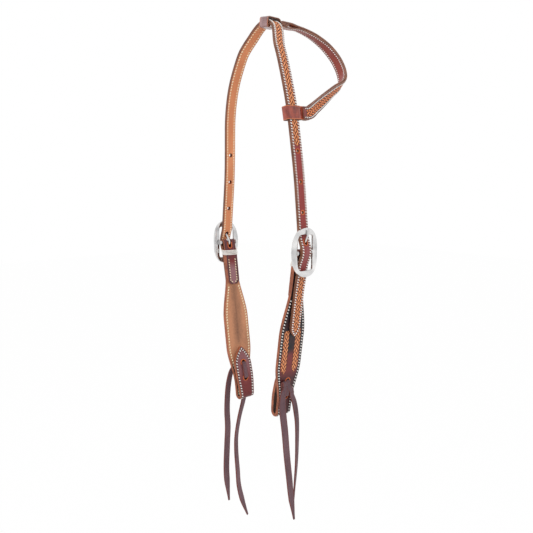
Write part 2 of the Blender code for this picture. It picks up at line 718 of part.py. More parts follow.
def build_tongue(side, word, look):
    points = mirrored(tongue_line(), side)
    travelled = lengths(points)
    taper = BUCKLE_HEIGHT / 4
    radii = [TONGUE_TIP_RADIUS + (TONGUE_RADIUS - TONGUE_TIP_RADIUS) * smooth((travelled[-1] - d) / taper)
             for d in travelled]
    tube(f"{word}_buckle_tongue", points, radii, TONGUE_SIDES, look, mirrored([BAR], side)[0])


# Cheeks

def cheek_width(below_bar):
    """The flared cheek's width at a distance below the bar."""
    flare = smooth((below_bar - CHEEK_FLARE_START) / (CHEEK_FLARE_END - CHEEK_FLARE_START))
    taper = smooth((below_bar - CHEEK_TAPER_START) / (CHEEK_TAPER_END - CHEEK_TAPER_START))
    return CHAPE_WIDTH + (CHEEK_WIDTH - CHAPE_WIDTH) * flare - (CHEEK_WIDTH - FOLD_WIDTH) * taper


def tab_width(height):
    """The tab's width at a height above the fold's bottom, pointed like an almond."""
    if height >= TAB_POINT_START:
        share = (TAB_LENGTH - height) / (TAB_LENGTH - TAB_POINT_START)
        return POINT_END_WIDTH + (TAB_WIDTH - POINT_END_WIDTH) * math.sin(share * math.pi / 2) ** 0.85
    return FOLD_WIDTH + (TAB_WIDTH - FOLD_WIDTH) * smooth(height / TAB_WIDEST)


def fold_frame():
    """The fold's centre on the right, and its directions out and up along the slanted cheek."""
    up = Vector((math.sin(CHEEK_SLANT), 0, math.cos(CHEEK_SLANT)))
    out = Vector((math.cos(CHEEK_SLANT), 0, -math.sin(CHEEK_SLANT)))
    bottom = -(CHEEK_LENGTH - FOLD_RADIUS)
    front = BAR + Vector((cheek_line(bottom), 0, bottom))
    return front - out * FOLD_RADIUS, out, up


def tab_shift(height):
    """How far the tab has closed toward the cheek at a height above the fold's bottom."""
    share = (height - TAB_CLOSE_START) / (TAB_LENGTH - TAB_CLOSE_START)
    return (FOLD_OPENING - EASE) * smooth(share)


def cheek_path():
    """The grain layer's middle and widths: chape end, bar, front, fold and tab, on the right."""
    points, widths = [], []
    fronts = spaced(0, -WEAVE_LENGTH, FRONT_TOP_STEPS)
    fronts += spaced(-WEAVE_LENGTH, -CHEEK_FLARE_START, FRONT_MIDDLE_STEPS)[1:]
    chape = spaced(-CHAPE_LENGTH, -CHEEK_FLARE_START, CHAPE_STEPS) + list(reversed(fronts))[1:]
    for up in chape:
        points.append(BAR + Vector((chape_out(up), 0, up)))
        widths.append(CHAPE_WIDTH * (1 - CHAPE_ROUNDING_share * max(0, 1 - (up + CHAPE_LENGTH) / OVERRUN)))
    for angle in spaced(math.pi, 0, ROUND_BAR)[1:]:
        points.append(BAR + CHAPE_RADIUS * Vector((math.cos(angle), 0, math.sin(angle))))
        widths.append(CHAPE_WIDTH)
    bottom = -(CHEEK_LENGTH - FOLD_RADIUS)
    fronts += spaced(-CHEEK_FLARE_START, bottom, CHEEK_STEPS)[1:]
    for up in fronts[1:]:
        points.append(BAR + Vector((cheek_out(up), 0, up)))
        widths.append(cheek_width(-up))
    centre, out, up_tab = fold_frame()
    for angle in spaced(0, math.pi, FOLD_STEPS)[1:]:
        points.append(centre + FOLD_RADIUS * (out * math.cos(angle) - up_tab * math.sin(angle)))
        widths.append(FOLD_WIDTH)
    base = FOLD_RADIUS + GRAIN_THICKNESS / 2
    heights = spaced(base, TAB_POINT_START, TAB_STEPS)[1:]
    heights += spaced(TAB_POINT_START, TAB_LENGTH, POINT_STEPS)[1:]
    for height in heights:
        points.append(centre - out * (FOLD_RADIUS - tab_shift(height)) + up_tab * (height - base))
        widths.append(tab_width(height))
    return points, widths


def side_view_stations(side):
    """The cheek's stations on one side, with normals on the grain side."""
    points, widths = cheek_path()
    stations = []
    for centre, across, normal, width in hanging_stations(points, widths):
        stations.append((Vector((centre.x * side, centre.y, centre.z)), across,
                         Vector((normal.x * side, 0, normal.z)), width))
    return stations


def build_cheek(side, word):
    grain = leather("cheek_grain", (0.30, 0.10, 0.06), 0.4)
    flesh = leather("cheek_flesh", (0.55, 0.32, 0.22), 0.8)
    stations = side_view_stations(side)
    axis = mirrored([BAR], side)[0]
    outer = strap(f"{word}_cheek_outer", stations, GRAIN_THICKNESS, grain, origin=axis, bevelled=True)
    start = next(i for i, s in enumerate(stations)
                 if i > CHAPE_STEPS + FRONT_TOP_STEPS + FRONT_MIDDLE_STEPS + ROUND_BAR
                 and s[0].z < BAR.z - LINING_BELOW_BAR)
    lining = strap(f"{word}_cheek_lining", stations[start:], LINING_THICKNESS, flesh, -LINING_FROM_GRAIN, axis)
    centre, out, up = fold_frame()
    base = FOLD_RADIUS + GRAIN_THICKNESS / 2
    heights = (TIE_HOLE_UPPER - base, TIE_HOLE_UPPER - TIE_HOLE_PITCH - base)
    holes = mirrored([centre + up * height for height in heights], side)
    through, along = mirrored([out, up], side)
    tie_holes = slot_cutter(f"{word}_tie_holes", holes, through, along, TIE_HOLE_DIAMETER, TIE_HOLE_DIAMETER,
                            2 * (FOLD_RADIUS + GRAIN_THICKNESS + OVERRUN))
    cut(outer, [tie_holes])
    cut(lining, [tie_holes])
    bottom, top = -SLOT_BELOW_BAR, CHAPE_RADIUS + GRAIN_THICKNESS + SLOT_WIDTH
    slot = slot_cutter(f"{word}_tongue_slot", [axis + Vector((0, 0, (top + bottom) / 2))], Vector((side, 0, 0)),
                       Vector((0, 0, 1)), SLOT_WIDTH, top - bottom, 4 * STRAP_OVER_BAR)
    cut(outer, [slot])
    build_whipping(side, word)
    build_tie(side, word)


def build_whipping(side, word):
    """Waxed thread wound round the cheek's top and the chape, just under the bar."""
    thread = material("waxed_thread", (0.80, 0.76, 0.66), 0.6, metallic=0)
    radius = THREAD_DIAMETER / 2
    room = GAP + radius
    half_y = CHAPE_WIDTH / 2 + room
    corners = []
    for quarter in range(4 * WHIP_TURNS + 1):
        up = -(WHIP_BELOW_BAR + quarter / 4 * WHIP_PITCH)
        front = cheek_out(up) + GRAIN_THICKNESS / 2 + room
        back = chape_out(up) - GRAIN_THICKNESS / 2 - room
        out = front if quarter % 4 in (1, 2) else back
        forward = half_y if quarter % 4 in (0, 1) else -half_y
        corners.append(BAR + Vector((out, forward, up)))
    points = rounded(corners, THREAD_DIAMETER, WHIP_CORNER_STEPS)
    least = least_gap(points, radius)
    print(f"{word} bar tie: least gap between turns {least * 1000:.2f} mm")
    tube(f"{word}_bar_tie", mirrored(points, side), [radius] * len(points), WHIP_SIDES, thread,
         mirrored([BAR], side)[0])


def least_gap(points, radius):
    """The least clear distance of the wound thread to its other turns, past the bends of its own."""
    half = 2 * (WHIP_CORNER_STEPS + 1)
    return min((p - q).length for i, p in enumerate(points) for q in points[i + half:]) - 2 * radius


# Water ties

def tie_point(out_from_centre, height, forward):
    """A point by the tie holes: out from the fold's centre line, above the fold's bottom, forward."""
    centre, out, up = fold_frame()
    above = height - FOLD_RADIUS - GRAIN_THICKNESS / 2
    return centre + out * out_from_centre + up * above + FORWARD * forward


def flat_lace(name, points, turns, widths, look, origin):
    """A flat lace whose face is turned about the vertical by an angle at each point."""
    stations = []
    for point, ahead, turn, width in zip(points, tangents(points), turns, widths):
        across = Vector((math.sin(turn), math.cos(turn), 0))
        across = (across - ahead * across.dot(ahead)).normalized()
        stations.append((point, across, ahead.cross(across).normalized(), width))
    return strap(name, stations, LACE_THICKNESS, look, origin=origin)


def build_tie(side, word):
    """The lace through both holes, and its two free tails on the cheek's outside."""
    latigo = leather("latigo", (0.10, 0.06, 0.065), 0.7)
    upper, lower = TIE_HOLE_UPPER, TIE_HOLE_UPPER - TIE_HOLE_PITCH
    face = FOLD_RADIUS + GRAIN_THICKNESS / 2 + GAP + LACE_THICKNESS / 2
    hole = TIE_HOLE_DIAMETER / 2
    over = face + LACE_THICKNESS * TURN_OVER_share
    top = upper + hole / 4
    shares = spaced(0, 1, LEG_STEPS)
    front = [tie_point(face, upper - LACE_LEAD - LEG_LENGTH * t, LEG_SHIFT * smooth(t))
             for t in reversed(shares)]
    back = [tie_point(face, lower + LACE_LEAD + LEG_LENGTH * t, -LEG_SHIFT * smooth(t)) for t in shares]
    through = [
        front[-1],
        tie_point(face, upper, 0),
        tie_point(tab_shift(upper) - face, upper, 0),
        tie_point(tab_shift(lower) - face, lower, 0),
        tie_point(face, lower, 0),
        back[0],
    ]
    turned_over = [
        back[-1],
        tie_point(face, top, -LEG_SHIFT),
        tie_point(over, top, -LEG_SHIFT),
        tie_point(over, top - LACE_WIDTH / 2, -LEG_SHIFT),
    ]
    points = [*front[:-1], *rounded(through, LACE_BEND, LACE_BEND_STEPS), *back[1:-1],
              *rounded(turned_over, LACE_BEND, LACE_BEND_STEPS)]
    leads = {"front": (points[0], (points[0] - points[1]).normalized()),
             "back": (points[-1], (points[-1] - points[-2]).normalized())}
    axis = mirrored([BAR], side)[0]
    flat_lace(f"{word}_tie_lace", mirrored(points, side), [0.0] * len(points),
              [LACE_IN_HOLE_WIDTH] * len(points), latigo, axis)
    for place in ("front", "back"):
        name = f"{word}_lace_tail_{place}"
        end, way = leads[place]
        start, lead = [Vector((*(end + way * reach), 0)) for reach in (GAP, LACE_WIDTH / 2)]
        rows = [Vector((x, BAR.y + forward, -drop, turn)) for x, forward, drop, turn in LACE_ROUTES[name]]
        rows = [start, *smooth_route([lead, *rows], LACE_SPAN_STEPS)]
        points = [Vector((row[0] * side, row[1], row[2])) for row in rows]
        travelled = lengths(points)
        widths = []
        for distance in travelled:
            left = (travelled[-1] - distance) / LACE_TIP_LENGTH
            root = LACE_IN_HOLE_WIDTH + (LACE_WIDTH - LACE_IN_HOLE_WIDTH) * smooth(distance / LACE_TIP_LENGTH)
            widths.append(LACE_TIP_WIDTH + (root - LACE_TIP_WIDTH) * min(left, 1))
        flat_lace(name, points, [row[3] for row in rows], widths, latigo, axis)


def main():
    for piece in list(bpy.data.objects):
        bpy.data.objects.remove(piece)
    build_crown()
    build_ear_piece()
    for side, word in ((1, "right"), (-1, "left")):
        build_buckle(side, word)
        build_cheek(side, word)
    bpy.context.view_layer.update()


main()
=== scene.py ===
"""A western headstall hung by its crown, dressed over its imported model.

Metres. +X is the horse's right side, +Y is forward, +Z is up, and the origin is under the poll.
"""

import logging
import math
from bisect import bisect_right
from dataclasses import dataclass
from enum import Enum
from functools import cached_property
from itertools import accumulate
from typing import Callable

import bmesh
import bpy
from mathutils import Matrix, Vector


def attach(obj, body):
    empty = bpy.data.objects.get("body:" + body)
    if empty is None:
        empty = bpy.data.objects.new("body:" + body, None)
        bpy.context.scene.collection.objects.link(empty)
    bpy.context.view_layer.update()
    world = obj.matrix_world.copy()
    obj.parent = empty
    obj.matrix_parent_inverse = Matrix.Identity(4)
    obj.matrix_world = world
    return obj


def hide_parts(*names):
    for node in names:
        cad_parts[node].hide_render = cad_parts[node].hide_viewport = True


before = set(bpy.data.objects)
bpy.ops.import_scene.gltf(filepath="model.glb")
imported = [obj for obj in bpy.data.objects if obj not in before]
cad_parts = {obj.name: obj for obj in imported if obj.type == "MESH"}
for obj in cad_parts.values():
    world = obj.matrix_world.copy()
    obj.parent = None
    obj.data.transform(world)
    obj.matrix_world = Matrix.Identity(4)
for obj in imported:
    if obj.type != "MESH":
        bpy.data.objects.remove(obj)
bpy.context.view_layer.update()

LOG = logging.getLogger("headstall")
FORWARD = Vector((0, 1, 0))
SHARP_FROM = 42.0  # degrees
MERGED_SHARE = 0.01  # of a corner's reach
Colour = tuple[float, float, float]


def srgb(red: int, green: int, blue: int) -> Colour:
    """A screen's colour, in 0 to 255, as linear light."""
    parts = (red / 255, green / 255, blue / 255)
    return tuple(p / 12.92 if p <= 0.04045 else ((p + 0.055) / 1.055) ** 2.4 for p in parts)


# Lines and curves

def smooth(share: float) -> float:
    """An ease from 0 to 1 with level ends."""
    share = min(max(share, 0.0), 1.0)
    return share * share * (3 - 2 * share)


def rising(share: float) -> float:
    """A rise from 0 to 1 that ends level."""
    return math.sin(share * math.pi / 2)


def arc(radius: float, start: float, end: float) -> Vector:
    """The way from one turn to another along an arc that begins level."""
    return radius * Vector((math.sin(end) - math.sin(start), 0, math.cos(end) - math.cos(start)))


def squared(across: Vector, ahead: Vector) -> Vector:
    """A direction, made square to another."""
    return (across - ahead * across.dot(ahead)).normalized()


def spaced(start: float, end: float, steps: int) -> list[float]:
    """Evenly spaced values, both ends included."""
    return [start + (end - start) * i / steps for i in range(steps + 1)]


def smooth_route(points: list[Vector], steps: int) -> list[Vector]:
    """A Catmull-Rom curve through points of any dimension.

    Args:
        points: The points it passes through.
        steps: How many steps each span gets.

    Returns:
        The points of the curve.
    """
    ends = [2 * points[0] - points[1], *points, 2 * points[-1] - points[-2]]
    out = []
    for p0, p1, p2, p3 in zip(ends, ends[1:], ends[2:], ends[3:]):
        for i in range(steps):
            t = i / steps
            out.append(0.5 * (2 * p1 + (p2 - p0) * t + (2 * p0 - 5 * p1 + 4 * p2 - p3) * t ** 2
                              + (3 * p1 - p0 - 3 * p2 + p3) * t ** 3))
    return [*out, points[-1].copy()]


def rounded(points: list[Vector], radius: float, steps: int) -> list[Vector]:
    """An open polyline whose inner corners are rounded.

    Args:
        points: The corners.
        radius: How far from a corner the rounding starts.
        steps: How many steps each rounding gets.

    Returns:
        The rounded polyline.
    """
    out = [points[0]]
    for before, corner, after in zip(points, points[1:], points[2:]):
        back, on = before - corner, after - corner
        reach = min(radius, back.length / 2, on.length / 2)
        start, end = corner + back.normalized() * reach, corner + on.normalized() * reach
        for t in spaced(0, 1, steps):
            point = start.lerp(corner, t).lerp(corner.lerp(end, t), t)
            if (point - out[-1]).length > reach * MERGED_SHARE:
                out.append(point)
    return [*out, points[-1]]


def tangents(points: list[Vector]) -> list[Vector]:
    """The direction of travel at each point of a polyline."""
    last = len(points) - 1
    return [(points[min(i + 1, last)] - points[max(i - 1, 0)]).normalized() for i in range(last + 1)]


def lengths(points: list[Vector]) -> list[float]:
    """The distance travelled at each point of a polyline."""
    steps = [(after - before).length for before, after in zip(points, points[1:])]
    return list(accumulate(steps, initial=0.0))


# Nodes

class Tree:
    """A node tree that is filled through one method."""

    def __init__(self, tree: bpy.types.NodeTree) -> None:
        """Takes an empty tree."""
        self.tree = tree

    def node(self, kind: str, values: dict | None = None, **settings: str) -> bpy.types.Node:
        """Adds a node.

        Args:
            kind: The node's type.
            values: A value or a link for each named or numbered input.
            settings: The node's own settings, which are made first.

        Returns:
            The node.
        """
        made = self.tree.nodes.new(kind)
        for key, setting in settings.items():
            setattr(made, key, setting)
        for key, value in (values or {}).items():
            if isinstance(value, Value):
                value = value.socket
            if isinstance(value, bpy.types.NodeSocket):
                self.tree.links.new(value, made.inputs[key])
            else:
                made.inputs[key].default_value = value
        return made


class Value:
    """A number socket of a material, with the arithmetic that its expressions use."""

    def __init__(self, tree: Tree, socket: bpy.types.NodeSocket) -> None:
        """Wraps a socket."""
        self.tree = tree
        self.socket = socket

    def math(self, operation: str, *terms: "Value | float") -> "Value":
        """Adds one maths node, with its inputs in order."""
        made = self.tree.node("ShaderNodeMath", dict(enumerate(terms)), operation=operation)
        return Value(self.tree, made.outputs[0])

    def __add__(self, other: "Value | float") -> "Value":
        """The sum."""
        return self.math("ADD", self, other)

    def __radd__(self, other: float) -> "Value":
        """The sum with a number in front."""
        return self.math("ADD", other, self)

    def __sub__(self, other: "Value | float") -> "Value":
        """The difference."""
        return self.math("SUBTRACT", self, other)

    def __rsub__(self, other: float) -> "Value":
        """The difference from a number."""
        return self.math("SUBTRACT", other, self)

    def __mul__(self, other: "Value | float") -> "Value":
        """The product."""
        return self.math("MULTIPLY", self, other)

    def __truediv__(self, other: "Value | float") -> "Value":
        """The quotient."""
        return self.math("DIVIDE", self, other)

    def __abs__(self) -> "Value":
        """The value without its sign."""
        return self.math("ABSOLUTE", self)

    def floor(self) -> "Value":
        """The whole number below."""
        return self.math("FLOOR", self)

    def fraction(self) -> "Value":
        """What lies above the whole number below."""
        return self.math("FRACT", self)

    def sine(self) -> "Value":
        """The sine of an angle in radians."""
        return self.math("SINE", self)

    def larger(self, other: "Value | float") -> "Value":
        """The larger of two."""
        return self.math("MAXIMUM", self, other)

    def clamped(self) -> "Value":
        """The value held between 0 and 1."""
        return self.math("MINIMUM", self.math("MAXIMUM", self, 0.0), 1.0)


class Paint(Tree):
    """A material's tree, with the nodes that the finishes share."""

    def __init__(self, name: str) -> None:
        """Starts a material with an empty tree.

        Args:
            name: The material's name.
        """
        self.material = bpy.data.materials.new(name)
        self.material.use_nodes = True
        super().__init__(self.material.node_tree)
        self.tree.nodes.clear()

    def uv(self, name: str) -> tuple[Value, Value]:
        """A UV map's two values."""
        found = self.node("ShaderNodeUVMap", uv_map=name).outputs[0]
        return tuple(Value(self, part) for part in self.node("ShaderNodeSeparateXYZ", {0: found}).outputs[:2])

    def place(self) -> bpy.types.NodeSocket:
        """Object coordinates, in metres."""
        return self.node("ShaderNodeTexCoord").outputs["Object"]

    def stretched(self, scale: tuple[float, float, float]) -> bpy.types.NodeSocket:
        """Object coordinates, scaled along each axis."""
        return self.node("ShaderNodeMapping", {"Vector": self.place(), "Scale": scale}).outputs[0]

    def noise(self, place: bpy.types.NodeSocket, scale: float, detail: float = 2.0) -> Value:
        """Soft noise about 0.5, its scale in waves to a metre."""
        made = self.node("ShaderNodeTexNoise", {"Vector": place, "Scale": scale, "Detail": detail})
        return Value(self, made.outputs[0])

    def mix(self, first: "Colour | bpy.types.NodeSocket", second: "Colour | bpy.types.NodeSocket",
            share: Value) -> bpy.types.NodeSocket:
        """A mix of two colours, by the share of the second."""
        first, second = [(*c, 1.0) if isinstance(c, tuple) else c for c in (first, second)]
        return self.node("ShaderNodeMix", {0: share, 6: first, 7: second}, data_type="RGBA").outputs[2]

    def bump(self, height: Value, distance: float, strength: float = 1.0) -> bpy.types.NodeSocket:
        """A relief, as deep as the distance where the height is 1."""
        values = {"Height": height, "Distance": distance, "Strength": strength}
        return self.node("ShaderNodeBump", values).outputs[0]

    def shade(self, colour: "Colour | bpy.types.NodeSocket", roughness: "Value | float",
              normal: bpy.types.NodeSocket, **others: "Value | float") -> bpy.types.Material:
        """Closes the material with its shader.

        Args:
            colour: The base colour.
            roughness: The roughness.
            normal: The bent normal.
            others: Other inputs of the shader, with spaces as underscores.

        Returns:
            The material.
        """
        values = {"Base Color": (*colour, 1.0) if isinstance(colour, tuple) else colour,
                  "Roughness": roughness, "Normal": normal}
        values |= {key.replace("_", " "): value for key, value in others.items()}
        shader = self.node("ShaderNodeBsdfPrincipled", values)
        self.node("ShaderNodeOutputMaterial", {"Surface": shader.outputs[0]})
        return self.material


# Finishes

@dataclass(frozen=True)
class GrainLeather:
    """The grain side of a strap: burnished, dark outside its stitch rows, tooled in its field."""

    name: str
    plain: Colour
    deep: Colour
    margin: Colour
    light_margin: Colour
    tool_high: Colour
    tool_middle: Colour
    tool_low: Colour
    margin_width: float
    # Painted sheen: a pale mauve laid over the plain leather, standing in for the reflection on its glossy
    # coat.
    painted_sheen: Colour = srgb(160, 124, 130)
    painted_sheen_share: float = 0.38
    seam_inset: float = 0.0024
    across: float = 0.0036
    along: float = 0.0060
    slant: float = 0.85
    scallop: float = 0.0
    scallop_pitch: float = 0.0050
    blur: float = 0.0004
    crease_width: float = 0.0006
    groove_width: float = 0.0013
    mottle_scale: float = 70.0
    pore_scale: float = 1400.0
    sheen_streak_scale: float = 75.0
    relief: float = 0.0010
    roughness: float = 0.42
    coat: float = 0.16

    def plait(self, u: Value, v: Value) -> Value:
        """The height of a plaited weave, whose strokes slant one way and the other in turn.

        Args:
            u: The place across the strap, in metres.
            v: The place along the strap, in metres.

        Returns:
            A height from 0 to 1.
        """
        column = u / self.across + 0.5
        parity = (column.floor() * 0.5).fraction() * 2
        aside = column.fraction() - 0.5
        lean = (1 - parity * 2) * aside * self.slant
        stroke = (v / self.along + lean + parity * 0.5).fraction() - 0.5
        return (1 - stroke * stroke * 4.6 - aside * aside * 1.4).clamped()

    def material(self) -> bpy.types.Material:
        """Builds the finish.

        Returns:
            Its material.
        """
        paint = Paint(self.name)
        u, v = paint.uv("strap")
        edge, field = paint.uv("zone")
        tone, light = paint.uv("tone")
        mottle = paint.noise(paint.place(), self.mottle_scale, 4)
        pores = paint.noise(paint.place(), self.pore_scale, 3)
        plait = self.plait(u, v)
        # Stretched noise whose streaks place the painted sheen below.
        streaks = paint.noise(paint.stretched((1.0, 1.0, 0.2)), self.sheen_streak_scale, 2)
        if self.scallop:
            field = field - abs((v * (math.pi / self.scallop_pitch)).sine()) * self.scallop
        tooled = (field / self.blur).clamped()
        crease = (1 - abs(field) / self.crease_width).clamped()
        colour = paint.mix(self.plain, self.deep, (tone + (mottle - 0.5) * 0.9).clamped())
        # Painted sheen: pale mauve in vertical streaks on the plain leather, and more of it where the tone is
        # below zero.
        painted_sheen = ((streaks - 0.5) * 4).clamped() * (1 - tone).clamped() * self.painted_sheen_share - tone
        colour = paint.mix(colour, self.painted_sheen, painted_sheen.clamped())
        margin = paint.mix(self.margin, self.light_margin, light)
        colour = paint.mix(colour, margin, ((self.margin_width - edge) / self.blur).clamped())
        tool = paint.mix(self.tool_low, self.tool_middle, (plait * 2.6 - 0.9).clamped())
        tool = paint.mix(tool, self.tool_high, (plait * 2.4 - 0.95 + (mottle - 0.5) * 0.8).clamped())
        colour = paint.mix(colour, tool, tooled)
        colour = paint.mix(colour, self.tool_low, crease * 0.55)
        groove = (1 - abs(edge - self.seam_inset) / self.groove_width).clamped()
        colour = paint.mix(colour, self.deep, groove * 0.8)
        height = plait * tooled + pores * 0.10 - crease * 0.35 + mottle * 0.2
        rough = (self.roughness + (mottle - 0.5) * 0.25 + tooled * 0.08).clamped()
        return paint.shade(colour, rough, paint.bump(height, self.relief), Coat_Roughness=0.32,
                           Coat_Weight=(1 - tooled * 0.8) * self.coat, Specular_IOR_Level=0.25)


@dataclass(frozen=True)
class TwoTone:
    """A finish that is mottled between two colours."""

    name: str
    light: Colour
    dark: Colour


@dataclass(frozen=True)
class FleshLeather(TwoTone):
    """The napped flesh side of a lining, or a dull lace."""

    edge_colour: Colour
    edge_width: float = 0.0012
    blur: float = 0.0006
    smudge: float = 45.0
    nap: float = 1100.0
    relief: float = 0.0004
    roughness: float = 0.85
    sheen: float = 0.25

    def material(self) -> bpy.types.Material:
        """Builds the finish.

        Returns:
            Its material.
        """
        paint = Paint(self.name)
        edge, _ = paint.uv("zone")
        tone, _ = paint.uv("tone")
        fibres = paint.noise(paint.stretched((1.0, 1.0, 0.35)), self.nap, 4)
        smudge = paint.noise(paint.stretched((1.0, 1.0, 0.3)), self.smudge, 4)
        # The tone darkens the leather; on the cheek's lining it also carries the painted shade near the fold.
        share = (tone + (smudge - 0.5) * 1.3 + (fibres - 0.5) * 0.7 + 0.3).clamped()
        colour = paint.mix(self.light, self.dark, share)
        colour = paint.mix(colour, self.edge_colour, ((self.edge_width - edge) / self.blur).clamped() * 0.8)
        normal = paint.bump(fibres + smudge * 0.4, self.relief, 0.7)
        return paint.shade(colour, (self.roughness + (fibres - 0.5) * 0.2).clamped(), normal,
                           Sheen_Weight=self.sheen, Sheen_Roughness=0.5)


@dataclass(frozen=True)
class EdgeLeather(TwoTone):
    """A cut edge, with the layers of the hide running along it."""

    layer_scale: tuple[float, float, float] = (2200.0, 700.0, 130.0)
    patch_scale: float = 90.0
    relief: float = 0.0002
    roughness: float = 0.5
    coat: float = 0.15

    def material(self) -> bpy.types.Material:
        """Builds the finish.

        Returns:
            Its material.
        """
        paint = Paint(self.name)
        streaks = paint.noise(paint.stretched(self.layer_scale), 1, 2)
        patches = paint.noise(paint.place(), self.patch_scale, 3)
        share = ((streaks - 0.5) * 1.4 + (patches - 0.5) * 1.2 + 0.5).clamped()
        colour = paint.mix(self.light, self.dark, share)
        normal = paint.bump(streaks + patches * 0.5, self.relief, 0.8)
        return paint.shade(colour, (self.roughness + (patches - 0.5) * 0.3).clamped(), normal,
                           Coat_Weight=self.coat, Coat_Roughness=0.35)


@dataclass(frozen=True)
class PlainLeather(TwoTone):
    """Thin burnished leather with fine creases, as the loops of the ear piece have."""

    edge_colour: Colour
    crease_scale: tuple[float, float, float] = (120.0, 120.0, 40.0)
    mottle_scale: float = 110.0
    relief: float = 0.0007
    edge_width: float = 0.0011
    blur: float = 0.0004
    roughness: float = 0.30
    coat: float = 0.35

    def material(self) -> bpy.types.Material:
        """Builds the finish.

        Returns:
            Its material.
        """
        paint = Paint(self.name)
        edge, _ = paint.uv("zone")
        creases = paint.noise(paint.stretched(self.crease_scale), 1, 3)
        mottle = paint.noise(paint.place(), self.mottle_scale, 3)
        share = ((mottle - 0.5) * 1.4 + (creases - 0.5) * 1.2 + 0.45).clamped()
        colour = paint.mix(self.light, self.dark, share)
        colour = paint.mix(colour, self.edge_colour, ((self.edge_width - edge) / self.blur).clamped())
        normal = paint.bump(creases + mottle * 0.4, self.relief, 0.7)
        return paint.shade(colour, (self.roughness + (mottle - 0.5) * 0.3).clamped(), normal,
                           Coat_Weight=self.coat, Coat_Roughness=0.25)


@dataclass(frozen=True)
class WaxedThread(TwoTone):
    """Twisted waxed thread."""

    twist: float = 900.0
    soil_scale: float = 120.0
    relief: float = 0.0003
    roughness: float = 0.6

    def material(self) -> bpy.types.Material:
        """Builds the finish.

        Returns:
            Its material.
        """
        paint = Paint(self.name)
        plies = paint.noise(paint.stretched((1.0, 1.0, 0.5)), self.twist, 2)
        soil = paint.noise(paint.place(), self.soil_scale, 2)
        colour = paint.mix(self.light, self.dark, ((plies - 0.5) * 1.5 + (soil - 0.5) * 1.2 + 0.25).clamped())
        rough = (self.roughness + (soil - 0.5) * 0.3).clamped()
        return paint.shade(colour, rough, paint.bump(plies, self.relief, 0.8))


@dataclass(frozen=True)
class PolishedMetal(TwoTone):
    """Nickel-plated metal with a worn polish."""

    roughness: float
    haze_scale: float = 65.0
    dent_scale: float = 260.0
    relief: float = 0.0003

    def material(self) -> bpy.types.Material:
        """Builds the finish.

        Returns:
            Its material.
        """
        paint = Paint(self.name)
        haze = paint.noise(paint.place(), self.haze_scale, 3)
        dents = paint.noise(paint.place(), self.dent_scale, 1)
        colour = paint.mix(self.light, self.dark, ((haze - 0.5) * 1.6 + 0.35).clamped())
        rough = (self.roughness + (haze - 0.5) * 0.12).clamped()
        return paint.shade(colour, rough, paint.bump(dents, self.relief, 0.35), Metallic=1.0)


